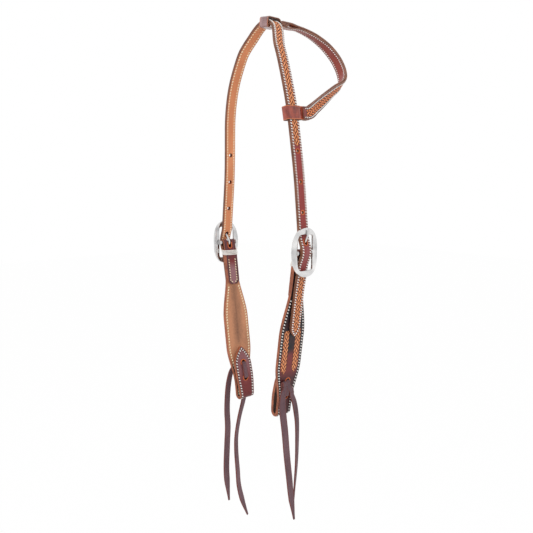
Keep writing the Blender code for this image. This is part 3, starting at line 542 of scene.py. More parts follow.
class Finish(Enum):
    """Every finish of the headstall."""

    CROWN_GRAIN = GrainLeather(
        "crown_tooled_grain", plain=srgb(148, 60, 56), deep=srgb(112, 44, 44), margin=srgb(126, 56, 44),
        light_margin=srgb(176, 92, 50), tool_high=srgb(255, 168, 114), tool_middle=srgb(236, 122, 74),
        tool_low=srgb(70, 28, 18), margin_width=0.0030)
    CROWN_FLESH = FleshLeather(
        "crown_flesh_side", light=srgb(230, 152, 106), dark=srgb(190, 112, 74),
        edge_colour=srgb(196, 116, 76), roughness=0.75, sheen=0.03, nap=900.0)
    CROWN_EDGE = EdgeLeather("crown_cut_edge", light=srgb(150, 95, 65), dark=srgb(86, 52, 42))
    EAR_GRAIN = GrainLeather(
        "ear_tooled_grain", plain=srgb(132, 70, 68), deep=srgb(98, 48, 50), margin=srgb(100, 56, 52),
        light_margin=srgb(176, 92, 50), tool_high=srgb(250, 152, 98), tool_middle=srgb(216, 106, 64),
        tool_low=srgb(66, 30, 22), margin_width=0.0030)
    EAR_LINING = GrainLeather(
        "ear_burgundy_lining", plain=srgb(146, 68, 58), deep=srgb(102, 42, 40), margin=srgb(132, 64, 50),
        light_margin=srgb(178, 98, 58), tool_high=srgb(220, 120, 66), tool_middle=srgb(176, 86, 48),
        tool_low=srgb(80, 44, 38), margin_width=0.0022, relief=0.0004)
    EAR_EDGE = EdgeLeather("ear_cut_edge", light=srgb(168, 112, 86), dark=srgb(92, 72, 68))
    LOOP = PlainLeather("loop_leather", light=srgb(182, 80, 56), dark=srgb(80, 26, 28),
                        edge_colour=srgb(226, 122, 64))
    # Painted sheen: the upper loop gets pale mauve colours standing in for the reflection on its glossy
    # leather.
    POLL_LOOP = PlainLeather("poll_loop_leather", light=srgb(168, 132, 130), dark=srgb(112, 78, 80),
                             edge_colour=srgb(226, 122, 64), coat=0.3)
    LOOP_FLESH = FleshLeather(
        "loop_flesh", light=srgb(132, 84, 66), dark=srgb(84, 50, 42), edge_colour=srgb(170, 96, 60))
    RAW = EdgeLeather("raw_cut_leather", light=srgb(226, 122, 64), dark=srgb(176, 80, 40), roughness=0.6,
                      coat=0.05)
    CHEEK_GRAIN = GrainLeather(
        "cheek_tooled_grain", plain=srgb(122, 50, 50), deep=srgb(32, 26, 31), margin=srgb(34, 22, 26),
        light_margin=srgb(112, 66, 68), tool_high=srgb(255, 168, 114), tool_middle=srgb(236, 122, 74),
        tool_low=srgb(72, 30, 22), margin_width=0.0048, scallop=0.0007, coat=0.12)
    # The cheek flesh's dark colour also serves as the painted shade on the lining near the fold.
    CHEEK_FLESH = FleshLeather(
        "cheek_flesh_side", light=srgb(204, 144, 108), dark=srgb(74, 54, 47), edge_colour=srgb(150, 92, 66),
        sheen=0.08)
    CHEEK_EDGE = EdgeLeather("cheek_cut_edge", light=srgb(196, 114, 76), dark=srgb(112, 58, 42))
    LACE_FACE = FleshLeather(
        "lace_face", light=srgb(122, 92, 98), dark=srgb(56, 34, 40), edge_colour=srgb(104, 48, 48),
        edge_width=0.0011, smudge=60.0, sheen=0.06)
    LACE_EDGE = EdgeLeather("lace_edge", light=srgb(140, 74, 64), dark=srgb(84, 44, 46), roughness=0.7,
                            coat=0.0)
    WHITE_THREAD = WaxedThread("white_waxed_thread", light=srgb(254, 252, 248), dark=srgb(226, 216, 204))
    CREAM_THREAD = WaxedThread("cream_waxed_thread", light=srgb(254, 240, 206), dark=srgb(230, 200, 156))
    # Painted shade: the hole walls are darkened to stand for the shade within the holes.
    HOLE = EdgeLeather("hole_wall", light=srgb(120, 62, 42), dark=srgb(58, 28, 24), roughness=0.8, coat=0.0)
    NICKEL = PolishedMetal("bright_nickel", light=(0.88, 0.87, 0.86), dark=(0.34, 0.34, 0.35), roughness=0.17)
    STEEL = PolishedMetal("bar_metal", light=(0.60, 0.59, 0.58), dark=(0.40, 0.39, 0.39), roughness=0.28)

    @property
    def look(self) -> bpy.types.Material:
        """The finish's material, made once."""
        return bpy.data.materials.get(self.value.name) or self.value.material()


# Meshes

def settle(piece: bpy.types.Object) -> None:
    """Turns what a piece's modifiers make into its own plain mesh.

    Args:
        piece: The piece, whose modifiers go.
    """
    bpy.context.view_layer.update()
    made = bpy.data.meshes.new_from_object(piece.evaluated_get(bpy.context.evaluated_depsgraph_get()))
    piece.modifiers.clear()
    piece.data = made


def placed(name: str, data: bpy.types.ID) -> bpy.types.Object:
    """Puts a mesh, a lamp or a camera into the scene.

    Args:
        name: The object's name.
        data: What it holds.

    Returns:
        The object, at the origin.
    """
    made = bpy.data.objects.new(name, data)
    bpy.context.collection.objects.link(made)
    return made


def polished(mesh: bpy.types.Mesh, sharp: float = SHARP_FROM) -> None:
    """Shades a mesh smooth, up to an angle in degrees from which an edge stays sharp."""
    mesh.shade_smooth()
    mesh.set_sharp_from_angle(angle=math.radians(sharp))


def skinned(bm: bmesh.types.BMesh, rings: list[list[bmesh.types.BMVert]],
            looped: bool = False) -> list[list[bmesh.types.BMFace]]:
    """Spans rings of vertices with faces.

    Args:
        bm: The mesh they lie in.
        rings: The rings, one after the other.
        looped: Whether the last ring joins the first. If not, both are closed with a face.

    Returns:
        The faces of each span, then each closing face.
    """
    count = len(rings[0])
    after = rings[1:] + rings[:1] if looped else rings[1:]
    corners = [(i, (i + 1) % count) for i in range(count)]
    spans = [[bm.faces.new((near[i], near[j], far[j], far[i])) for i, j in corners]
             for near, far in zip(rings, after)]
    return spans if looped else [*spans, [bm.faces.new(rings[0])], [bm.faces.new(rings[-1])]]


def meshed(name: str, bm: bmesh.types.BMesh, finishes: list[Finish],
           sharp: float = SHARP_FROM) -> bpy.types.Object:
    """Turns a working mesh into a piece.

    Args:
        name: The piece's name.
        bm: The working mesh, which goes.
        finishes: Its finishes, in the order of its material indices.
        sharp: The angle in degrees from which an edge stays sharp.

    Returns:
        The piece.
    """
    bmesh.ops.recalc_face_normals(bm, faces=bm.faces)
    mesh = bpy.data.meshes.new(name)
    bm.to_mesh(mesh)
    bm.free()
    for finish in finishes:
        mesh.materials.append(finish.look)
    polished(mesh, sharp)
    return placed(name, mesh)


def entered(piece: bpy.types.Object, body: str, slot: str, *nodes: str) -> None:
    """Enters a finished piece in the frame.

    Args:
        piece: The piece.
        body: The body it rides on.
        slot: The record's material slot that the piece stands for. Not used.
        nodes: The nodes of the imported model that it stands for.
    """
    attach(piece, body)
    if nodes:
        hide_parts(*nodes)
    LOG.info("%s: %d faces, rides on %s", piece.name, len(piece.data.polygons), body)


@dataclass
class Station:
    """One section's place on a strap."""

    centre: Vector
    across: Vector
    normal: Vector
    width: float


@dataclass
class Spot:
    """A place on a strap's skin."""

    travelled: float
    aside: float
    edge: float
    centre: Vector


@dataclass(frozen=True)
class Zones:
    """How a strap's skin is divided: its tooled field's depth, its second tone, its light margin. The second
    tone also carries painted light: on the grain side a painted sheen where it is below zero, and on the
    cheek's lining a painted shade near the fold.
    """

    field: Callable[[Spot], float] = lambda spot: -1.0
    tone: Callable[[Spot], float] = lambda spot: 0.0
    light: Callable[[Spot], float] = lambda spot: 0.0


class Strip:
    """A strap's middle, walked by the distance along it."""

    NARROWEST = 0.0002
    SHORTEST = 1e-6
    STEEPEST_SQUARED = 9.0

    def __init__(self, stations: list[Station]) -> None:
        """Measures the way along the stations.

        Args:
            stations: The strap's sections, in order.
        """
        self.stations = stations
        self.along = lengths([s.centre for s in stations])
        self.length = self.along[-1]

    def slope(self, index: int) -> float:
        """How fast the half width grows along the strap.

        Args:
            index: The station.

        Returns:
            The growth, in metres to a metre.
        """
        i, j = max(index - 1, 0), min(index + 1, len(self.stations) - 1)
        growth = (self.stations[j].width - self.stations[i].width) / 2
        return growth / max(self.along[j] - self.along[i], self.SHORTEST)

    def point(self, travelled: float, aside: float, lift: float) -> tuple[Vector, Vector]:
        """A point of the strap.

        Args:
            travelled: The distance along it.
            aside: The distance from its middle.
            lift: The distance out along its normal.

        Returns:
            The point, and the normal there.
        """
        i = min(max(bisect_right(self.along, travelled) - 1, 0), len(self.along) - 2)
        share = (travelled - self.along[i]) / (self.along[i + 1] - self.along[i])
        a, b = self.stations[i], self.stations[i + 1]
        across = a.across.lerp(b.across, share).normalized()
        normal = a.normal.lerp(b.normal, share).normalized()
        return a.centre.lerp(b.centre, share) + across * aside + normal * lift, normal

    def row(self, side: int, inset: float, lift: float, start: float, end: float,
            face: int = 1) -> list[tuple[Vector, Vector]]:
        """A line that keeps a distance from the strap's edge, also round a point.

        Args:
            side: Which edge, 1 or -1.
            inset: The distance from that edge.
            lift: The distance out of the strip.
            start: Where the line starts along the strap.
            end: Where it ends.
            face: Which face it lies on, 1 for the grain's, -1 for the other.

        Returns:
            Its points, each with the direction out of the strap.
        """
        out, last = [], start - 1
        for i, (station, travelled) in enumerate(zip(self.stations, self.along)):
            slope = self.slope(i)
            square = math.sqrt(1 + slope * slope)
            aside, there = station.width / 2 - inset / square, travelled + inset * slope / square
            if aside < self.NARROWEST or not start <= there <= end or there <= last:
                continue
            point, normal = self.point(there, side * aside, face * lift)
            out.append((point, normal * face))
            last = there
        return out

    def round_row(self, inset: float, lift: float, start: float, end: float,
                  face: int = 1) -> list[tuple[Vector, Vector]]:
        """A line along one edge and back along the other, with the values that a row takes."""
        rows = [self.row(side, inset, lift, start, end, face) for side in (1, -1)]
        return [*rows[0], *reversed(rows[1])]


@dataclass(frozen=True)
class Section:
    """A strap's section: its faces, its rounded edges and the grooves of its stitch rows."""

    thickness: float
    corner: float = 0.0006
    inset: float = 0.0
    groove: float = 0.0003
    groove_half: float = 0.0007
    back_groove: float = 0.0
    columns: int = 5
    curl: float = 0.0
    bend_angles: tuple[int, ...] = (65, 40, 15)

    def outline(self, width: float, square: float) -> list[tuple[float, float, int]]:
        """The section's outline at one width.

        Args:
            width: The strap's width there.
            square: The length of one metre across, measured along the slanting edge's normal.

        Returns:
            Its points round the section, each across, out and on which part of the skin.
        """
        half, rise = width / 2, self.thickness / 2
        corner = min(self.corner, half * 0.4, rise * 0.9)
        flat = half - corner
        row = max(half - (self.inset or half * 0.3) * square, half * 0.12)
        dip = min(self.groove_half, row * 0.45, (flat - row) * 0.9)
        groove = min(max(half / (self.inset or half) - 1, 0), 1)
        side = [(row - dip) * i / self.columns for i in range(1, self.columns + 1)] + [row, row + dip, flat]
        depths = [0.0] * len(side)
        depths[self.columns] = groove
        top = [(-u, d) for u, d in zip(reversed(side), reversed(depths))] + [(0.0, 0.0), *zip(side, depths)]
        bend = [(math.cos(math.radians(a)), math.sin(math.radians(a))) for a in self.bend_angles]
        ring = [(u, rise - self.groove * d, 0) for u, d in top]
        ring += [(flat + corner * c, rise - corner + corner * s, 1) for c, s in bend]
        ring += [(flat + corner * c, corner - rise - corner * s, 1) for c, s in reversed(bend)]
        ring += [(u, self.back_groove * d - rise, 2) for u, d in reversed(top)]
        ring += [(-flat - corner * c, corner - rise - corner * s, 1) for c, s in bend]
        ring += [(-flat - corner * c, rise - corner + corner * s, 1) for c, s in reversed(bend)]
        return [(u, h + self.curl * (u / half) ** 2, part) for u, h, part in ring]


@dataclass(frozen=True)
class Dress:
    """The finishes of a strap's face, cut edge and back."""

    face: Finish
    edge: Finish
    back: Finish


def strap_mesh(name: str, strip: Strip, section: Section, offset: float, dress: Dress,
               zones: Zones = Zones()) -> bpy.types.Object:
    """A closed strap, with the maps that its finishes read.

    Args:
        name: The piece's name.
        strip: The strap's way.
        section: Its section.
        offset: How far out from the strip its middle lies.
        dress: Its finishes.
        zones: How its skin is divided.

    Returns:
        The piece.
    """
    bm = bmesh.new()
    rows, notes, parts = [], [], []
    for i, (station, travelled) in enumerate(zip(strip.stations, strip.along)):
        square = math.sqrt(1 + min(strip.slope(i) ** 2, strip.STEEPEST_SQUARED))
        outline = section.outline(station.width, square)
        row = []
        for u, h, _ in outline:
            row.append(bm.verts.new(station.centre + station.across * u + station.normal * (h + offset)))
            spot = Spot(travelled, u, (station.width / 2 - abs(u)) / square, station.centre)
            notes.append(((u, travelled), (spot.edge, zones.field(spot)),
                          (zones.tone(spot), zones.light(spot))))
        rows.append(row)
        parts = [part for _, _, part in outline]
    bm.verts.index_update()
    finishes = (dress.face, dress.edge, dress.back)
    looks = list(dict.fromkeys(finishes))
    face, edge, back = [looks.index(finish) for finish in finishes]
    slots = [(face, edge, back)[part] if part == after else edge
             for part, after in zip(parts, parts[1:] + parts[:1])]
    for span in skinned(bm, rows):
        for made, slot in zip(span, slots if len(span) > 1 else [edge]):
            made.material_index = slot
    layers = [bm.loops.layers.uv.new(title) for title in ("strap", "zone", "tone")]
    for made in bm.faces:
        for loop in made.loops:
            for layer, pair in zip(layers, notes[loop.vert.index]):
                loop[layer].uv = pair
    return meshed(name, bm, looks)


def ring_points(centre: Vector, along: Vector, aside: Vector, width: float, length: float,
                segments: int = 24) -> list[Vector]:
    """A slot's outline with round ends, or a hole's where its length is its width.

    Args:
        centre: The slot's middle.
        along: The direction of its length.
        aside: The direction of its width.
        width: Its width.
        length: Its length.
        segments: How many corners it has.

    Returns:
        The outline.
    """
    radius, straight = width / 2, (length - width) / 2
    out = []
    for end in (1, -1):
        for angle in spaced(0, math.pi, segments // 2):
            point = centre + along * (end * (straight + radius * math.sin(angle))) \
                + aside * (end * radius * math.cos(angle))
            if not out or (point - out[-1]).length > radius * MERGED_SHARE:
                out.append(point)
    if (out[0] - out[-1]).length < radius * MERGED_SHARE:
        out.pop()
    return out


def pierced(piece: bpy.types.Object, holes: list[list[Vector]], through: list[Vector], depth: float) -> None:
    """Cuts holes whose walls take a dark painted shade.

    Args:
        piece: The strap.
        holes: The holes' outlines at mid depth.
        through: The direction through each hole.
        depth: How long the cutters are.
    """
    bm = bmesh.new()
    for outline, axis in zip(holes, through):
        skinned(bm, [[bm.verts.new(p + axis * (depth / 2 * way)) for p in outline] for way in (-1, 1)])
    cutter = meshed("hole_cutter", bm, [Finish.HOLE])
    cut = piece.modifiers.new("holes", "BOOLEAN")
    cut.operation, cut.solver, cut.material_mode, cut.object = "DIFFERENCE", "EXACT", "TRANSFER", cutter
    settle(piece)
    bpy.data.objects.remove(cutter)
    polished(piece.data)


# Repeated work, made by geometry nodes

class PathWork:
    """A geometry nodes tree that turns drawn lines into finished work."""

    SIZES: tuple[str, ...] = ()

    def __init__(self, name: str, finish: Finish) -> None:
        """Builds the tree for one finish.

        Args:
            name: The tree's name.
            finish: The finish of what it makes.
        """
        self.finish = finish
        self.group = bpy.data.node_groups.new(name, "GeometryNodeTree")
        self.group.is_modifier = True
        face = self.group.interface
        face.new_socket("Geometry", in_out="INPUT", socket_type="NodeSocketGeometry")
        self.sockets = {size: face.new_socket(size, in_out="INPUT", socket_type="NodeSocketFloat").identifier
                        for size in self.SIZES}
        face.new_socket("Geometry", in_out="OUTPUT", socket_type="NodeSocketGeometry")
        tree = Tree(self.group)
        made = self.fill(tree, tree.node("NodeGroupInput").outputs)
        real = tree.node("GeometryNodeRealizeInstances", {0: made})
        dressed = tree.node("GeometryNodeSetMaterial", {"Geometry": real.outputs[0], "Material": finish.look})
        tree.node("NodeGroupOutput", {0: dressed.outputs[0]})

    def fill(self, tree: Tree, given: bpy.types.NodeOutputs) -> bpy.types.NodeSocket:
        """Adds the nodes between the lines and the finished work, whose geometry it gives."""
        raise NotImplementedError

    def made(self, name: str, lines: list[list[tuple[Vector, Vector]]], closed: bool = False,
             **sizes: float) -> bpy.types.Object:
        """Makes one piece along lines.

        Args:
            name: The piece's name.
            lines: The lines' points, each with the direction that is up there.
            closed: Whether each line closes on itself.
            sizes: A value for each of the tree's sizes.

        Returns:
            The piece, as a plain mesh.
        """
        points, ups, edges = [], [], []
        for line in lines:
            first = len(points)
            points += [point for point, _ in line]
            ups += [up for _, up in line]
            edges += [(first + i, first + i + 1) for i in range(len(line) - 1)]
            if closed:
                edges.append((len(points) - 1, first))
        mesh = bpy.data.meshes.new(name)
        mesh.from_pydata(points, edges, [])
        lift = mesh.attributes.new("lift", "FLOAT_VECTOR", "POINT")
        lift.data.foreach_set("vector", [part for up in ups for part in up])
        piece = placed(name, mesh)
        work = piece.modifiers.new(self.group.name, "NODES")
        work.node_group = self.group
        for size, value in sizes.items():
            work[self.sockets[size]] = value
        settle(piece)
        piece.data.name = name
        return piece


class Sewing(PathWork):
    """Slanted stitches, each a stretched bead of thread, along seam lines."""

    SIZES = ("Pitch", "Length", "Width", "Height", "Tilt")

    def fill(self, tree: Tree, given: bpy.types.NodeOutputs) -> bpy.types.NodeSocket:
        """Lays one stitch shape at even steps, turned with the seam and the leather.

        Args:
            tree: The tree.
            given: The group's inputs.

        Returns:
            The stitches.
        """
        line = tree.node("GeometryNodeMeshToCurve", {0: given[0]})
        even = tree.node("GeometryNodeResampleCurve", {"Curve": line.outputs[0], "Length": given["Pitch"]},
                         mode="LENGTH")
        up = tree.node("GeometryNodeInputNamedAttribute", {"Name": "lift"}, data_type="FLOAT_VECTOR")
        up_socket = next(socket for socket in up.outputs if socket.enabled)
        ahead = tree.node("GeometryNodeInputTangent")
        run = tree.node("FunctionNodeAlignRotationToVector", {"Vector": ahead.outputs[0]}, axis="X")
        level = tree.node("FunctionNodeAlignRotationToVector",
                          {"Rotation": run.outputs[0], "Vector": up_socket}, axis="Z", pivot_axis="X")
        turn = tree.node("FunctionNodeAxisAngleToRotation", {"Axis": (0, 0, 1), "Angle": given["Tilt"]})
        slant = tree.node("FunctionNodeRotateRotation",
                          {"Rotation": level.outputs[0], "Rotate By": turn.outputs[0]},
                          rotation_space="LOCAL")
        bead = tree.node("GeometryNodeMeshUVSphere", {"Segments": 8, "Rings": 6, "Radius": 0.5})
        size = tree.node("ShaderNodeCombineXYZ", {0: given["Length"], 1: given["Width"], 2: given["Height"]})
        stitch = tree.node("GeometryNodeTransform", {"Geometry": bead.outputs[0], "Scale": size.outputs[0]})
        soft = tree.node("GeometryNodeSetShadeSmooth", {"Geometry": stitch.outputs[0]})
        laid = tree.node("GeometryNodeInstanceOnPoints",
                         {"Points": even.outputs[0], "Instance": soft.outputs[0],
                          "Rotation": slant.outputs[0]})
        return laid.outputs[0]


class Beading(PathWork):
    """A round bead or thread along lines."""

    SIZES = ("Radius",)

    def fill(self, tree: Tree, given: bpy.types.NodeOutputs) -> bpy.types.NodeSocket:
        """Sweeps a circle along the lines.

        Args:
            tree: The tree.
            given: The group's inputs.

        Returns:
            The beads.
        """
        line = tree.node("GeometryNodeMeshToCurve", {0: given[0]})
        circle = tree.node("GeometryNodeCurvePrimitiveCircle", {"Resolution": 10, "Radius": given["Radius"]})
        swept = tree.node("GeometryNodeCurveToMesh",
                          {"Curve": line.outputs[0], "Profile Curve": circle.outputs[0], "Fill Caps": True})
        soft = tree.node("GeometryNodeSetShadeSmooth", {"Geometry": swept.outputs[0]})
        return soft.outputs[0]


@dataclass(frozen=True)
class Seam:
    """The size and slant of a row's stitches."""

    pitch: float
    length: float
    width: float
    height: float
    tilt: float
    inset: float

    def sizes(self) -> dict[str, float]:
        """The values of the sewing tree's inputs."""
        return {"Pitch": self.pitch, "Length": self.length, "Width": self.width, "Height": self.height,
                "Tilt": math.radians(self.tilt)}


class Workroom:
    """The trees that the sub-assemblies share."""

    def __init__(self) -> None:
        """Builds the trees for stitches in two threads, for the raw rims of holes and for wound thread."""
        self.white_sewing = Sewing("white_sewing", Finish.WHITE_THREAD)
        self.cream_sewing = Sewing("cream_sewing", Finish.CREAM_THREAD)
        self.hole_beading = Beading("hole_beading", Finish.RAW)
        self.thread_winding = Beading("thread_winding", Finish.WHITE_THREAD)


# The lines that the straps share

class Side(Enum):
    """The horse's sides, with the sign of X."""

    RIGHT = 1
    LEFT = -1

    def own(self, name: str) -> str:
        """The name of this side's piece, body or node."""
        return f"{self.name.lower()}_{name}"

    def turned(self, point: Vector) -> Vector:
        """A point or direction of the right side, on this side."""
        return Vector((point.x * self.value, point.y, point.z))


@dataclass(frozen=True)
class Layout:
    """Where the straps run on the right side, seen from the front."""

    grain: float = 0.0019
    lining: float = 0.0018
    gap: float = 0.0003
    ease: float = 0.0005
    crown_width: float = 0.0159
    poll_radius: float = 0.0271
    poll_turn: float = math.radians(56.4)
    side_radius: float = 0.2703
    strap_slant: float = math.radians(6.07)
    poll_lean: float = 0.0100
    poll_lean_drop: float = 0.0400
    bow_back: float = 0.0054
    bow_peak_drop: float = 0.0850
    bow_end_drop: float = 0.2150
    bar_drop: float = 0.2915
    bar_radius: float = 0.0020
    tongue_radius: float = 0.0015
    buckle_height: float = 0.0625
    buckle_width: float = 0.0425
    rim_side_width: float = 0.0085
    rim_end_width: float = 0.0088
    rim_thickness: float = 0.0050
    rim_dish: float = 0.0070
    rim_clearance: float = 0.0014
    cheek_slant: float = math.radians(8.2)
    cheek_tuck: float = 0.0041
    weave_length: float = 0.0200
    chape_merge: float = 0.0160
    tail_lift: float = 0.0015
    tail_lift_end: float = 0.0560
    cheek_length: float = 0.2285
    fold_opening: float = 0.0056
    tab_length: float = 0.0760
    tab_close_start: float = 0.0120
    tie_hole: float = 0.0086
    tie_heights: tuple[float, float] = (0.0530, 0.0530 - 0.0220)

    @property
    def thickness(self) -> float:
        """Both layers of the crown with the gap between them."""
        return self.grain + self.gap + self.lining

    @property
    def apex(self) -> float:
        """Half the crown's thickness."""
        return self.thickness / 2

    @property
    def lining_from_grain(self) -> float:
        """From the middle of a grain layer to the middle of its lining."""
        return self.grain / 2 + self.gap + self.lining / 2

    @property
    def chape_radius(self) -> float:
        """The middle of the cheek's grain layer round the bar."""
        return self.bar_radius + self.gap + self.grain / 2

    @property
    def fold_radius(self) -> float:
        """The middle of the grain layer round the bit's fold."""
        return self.fold_opening / 2 + self.lining + self.gap + self.grain / 2

    @property
    def fold_face(self) -> float:
        """The outside of the grain layer round the bit's fold."""
        return self.fold_radius + self.grain / 2

    @property
    def tongue_ring(self) -> float:
        """The middle of the tongue's wire round the bar."""
        return self.bar_radius + self.gap + self.tongue_radius

    @property
    def strap_at_rim(self) -> float:
        """How far out of the bar the crown passes behind the buckle's top rim."""
        return self.rim_dish - self.rim_thickness / 2 - self.rim_clearance - self.apex

    @property
    def strap_over_bar(self) -> float:
        """How far out of the bar the crown passes over it."""
        return self.tongue_ring + self.tongue_radius + self.gap + self.apex

    @property
    def rim_centre_height(self) -> float:
        """From the bar to the middle of the top rim."""
        return (self.buckle_height - self.rim_end_width) / 2

    @property
    def rim_centre_width(self) -> float:
        """From the bar's middle to the middle of a side rim."""
        return (self.buckle_width - self.rim_side_width) / 2

    @cached_property
    def poll_end(self) -> Vector:
        """Where the tight arc over the poll ends."""
        return arc(self.poll_radius, 0, self.poll_turn)

    @property
    def straight_turn(self) -> float:
        """How far the crown has turned where it runs straight."""
        return math.pi / 2 - self.strap_slant

    @cached_property
    def bar(self) -> Vector:
        """The middle of the right buckle's bar.

        Returns:
            The point.
        """
        side_end = self.poll_end + arc(self.side_radius, self.poll_turn, self.straight_turn)
        line_out = self.strap_at_rim + self.rim_centre_height * math.tan(self.strap_slant)
        out = side_end.x + (self.bar_drop + self.apex + side_end.z) * math.tan(self.strap_slant) - line_out
        return Vector((out, -self.poll_lean, -self.bar_drop))

    def crown_out(self, up: float) -> float:
        """How far out of the bar the crown's middle lies.

        Args:
            up: The height above the bar.

        Returns:
            The distance.
        """
        if up >= 0:
            line = self.strap_at_rim - (up - self.rim_centre_height) * math.tan(self.strap_slant)
            swing = self.strap_over_bar - self.strap_at_rim
            swing -= self.rim_centre_height * math.tan(self.strap_slant)
            start = self.rim_centre_height - self.rim_end_width / 2
            return line + swing * smooth((start - up) / (start - 2 * self.tongue_radius))
        lowered = (-up - self.weave_length) / (self.tail_lift_end - self.weave_length)
        lift = self.tail_lift * (1 - smooth(lowered))
        rest = self.grain / 2 + self.ease + self.apex + lift
        swing = self.strap_over_bar - self.cheek_line(0) - rest
        return self.cheek_line(up) + rest + swing * (1 - smooth(-up / self.weave_length))

    def cheek_line(self, up: float) -> float:
        """How far out of the bar the cheek's straight lies, at a height above it."""
        return -self.cheek_tuck + (up + self.weave_length) * math.tan(self.cheek_slant)

    def cheek_out(self, up: float) -> float:
        """How far out of the bar the cheek's front lies, at a height above it."""
        swing = self.chape_radius - self.cheek_line(0)
        return self.cheek_line(up) + swing * (1 - smooth(-up / self.weave_length))

    def chape_out(self, up: float) -> float:
        """How far out of the bar the chape's back strand lies.

        Args:
            up: The height above the bar.

        Returns:
            The distance.
        """
        doubled = 2 * self.lining_from_grain
        spread = 2 * self.chape_radius - doubled
        return self.cheek_out(up) - doubled - spread * (1 - smooth(-up / self.chape_merge))

    def crown_arc_point(self, turn: float) -> Vector:
        """The crown's middle where it has turned from level at the poll.

        Args:
            turn: The angle it has turned by.

        Returns:
            The point.
        """
        point = arc(self.poll_radius, 0, min(turn, self.poll_turn))
        if turn > self.poll_turn:
            point += arc(self.side_radius, self.poll_turn, turn)
        return self.leaned(point + Vector((0, 0, self.apex)))

    def leaned(self, point: Vector) -> Vector:
        """Moves a point as far forward as the crown's middle lies at its height.

        Args:
            point: The point.

        Returns:
            The moved point.
        """
        drop = self.apex - point.z
        bow = smooth(drop / self.bow_peak_drop)
        bow *= 1 - smooth((drop - self.bow_peak_drop) / (self.bow_end_drop - self.bow_peak_drop))
        back = -self.poll_lean * smooth(drop / self.poll_lean_drop) - self.bow_back * bow
        return Vector((point.x, back, point.z))

    def fold_frame(self) -> tuple[Vector, Vector, Vector]:
        """The right fold's place.

        Returns:
            Its centre, and its directions out and up along the cheek.
        """
        up = Vector((math.sin(self.cheek_slant), 0, math.cos(self.cheek_slant)))
        out = Vector((math.cos(self.cheek_slant), 0, -math.sin(self.cheek_slant)))
        bottom = -(self.cheek_length - self.fold_radius)
        return self.bar + Vector((self.cheek_line(bottom), 0, bottom)) - out * self.fold_radius, out, up

    def tab_shift(self, height: float) -> float:
        """How far the tab has closed toward the cheek, at a height above the fold's bottom."""
        share = (height - self.tab_close_start) / (self.tab_length - self.tab_close_start)
        return (self.fold_opening - self.ease) * smooth(share)

    def tie_point(self, out_from_centre: float, height: float, forward: float) -> Vector:
        """A point by the right side's tie holes, from the fold's middle plane and bottom."""
        centre, out, up = self.fold_frame()
        return centre + out * out_from_centre + up * (height - self.fold_face) + FORWARD * forward

    def hanging(self, points: list[Vector], widths: list[float], side: Side) -> Strip:
        """A strip that keeps its width as near to forward as its direction allows.

        Args:
            points: Its middle on the right side.
            widths: Its widths.
            side: The side it is for.

        Returns:
            The strip, with its normals on the grain side.
        """
        stations = []
        for point, ahead, width in zip(points, tangents(points), widths):
            across, normal = squared(FORWARD, ahead), ahead.cross(FORWARD).normalized()
            stations.append(Station(side.turned(point), side.turned(across), side.turned(normal), width))
        return Strip(stations)


# Sub-assemblies

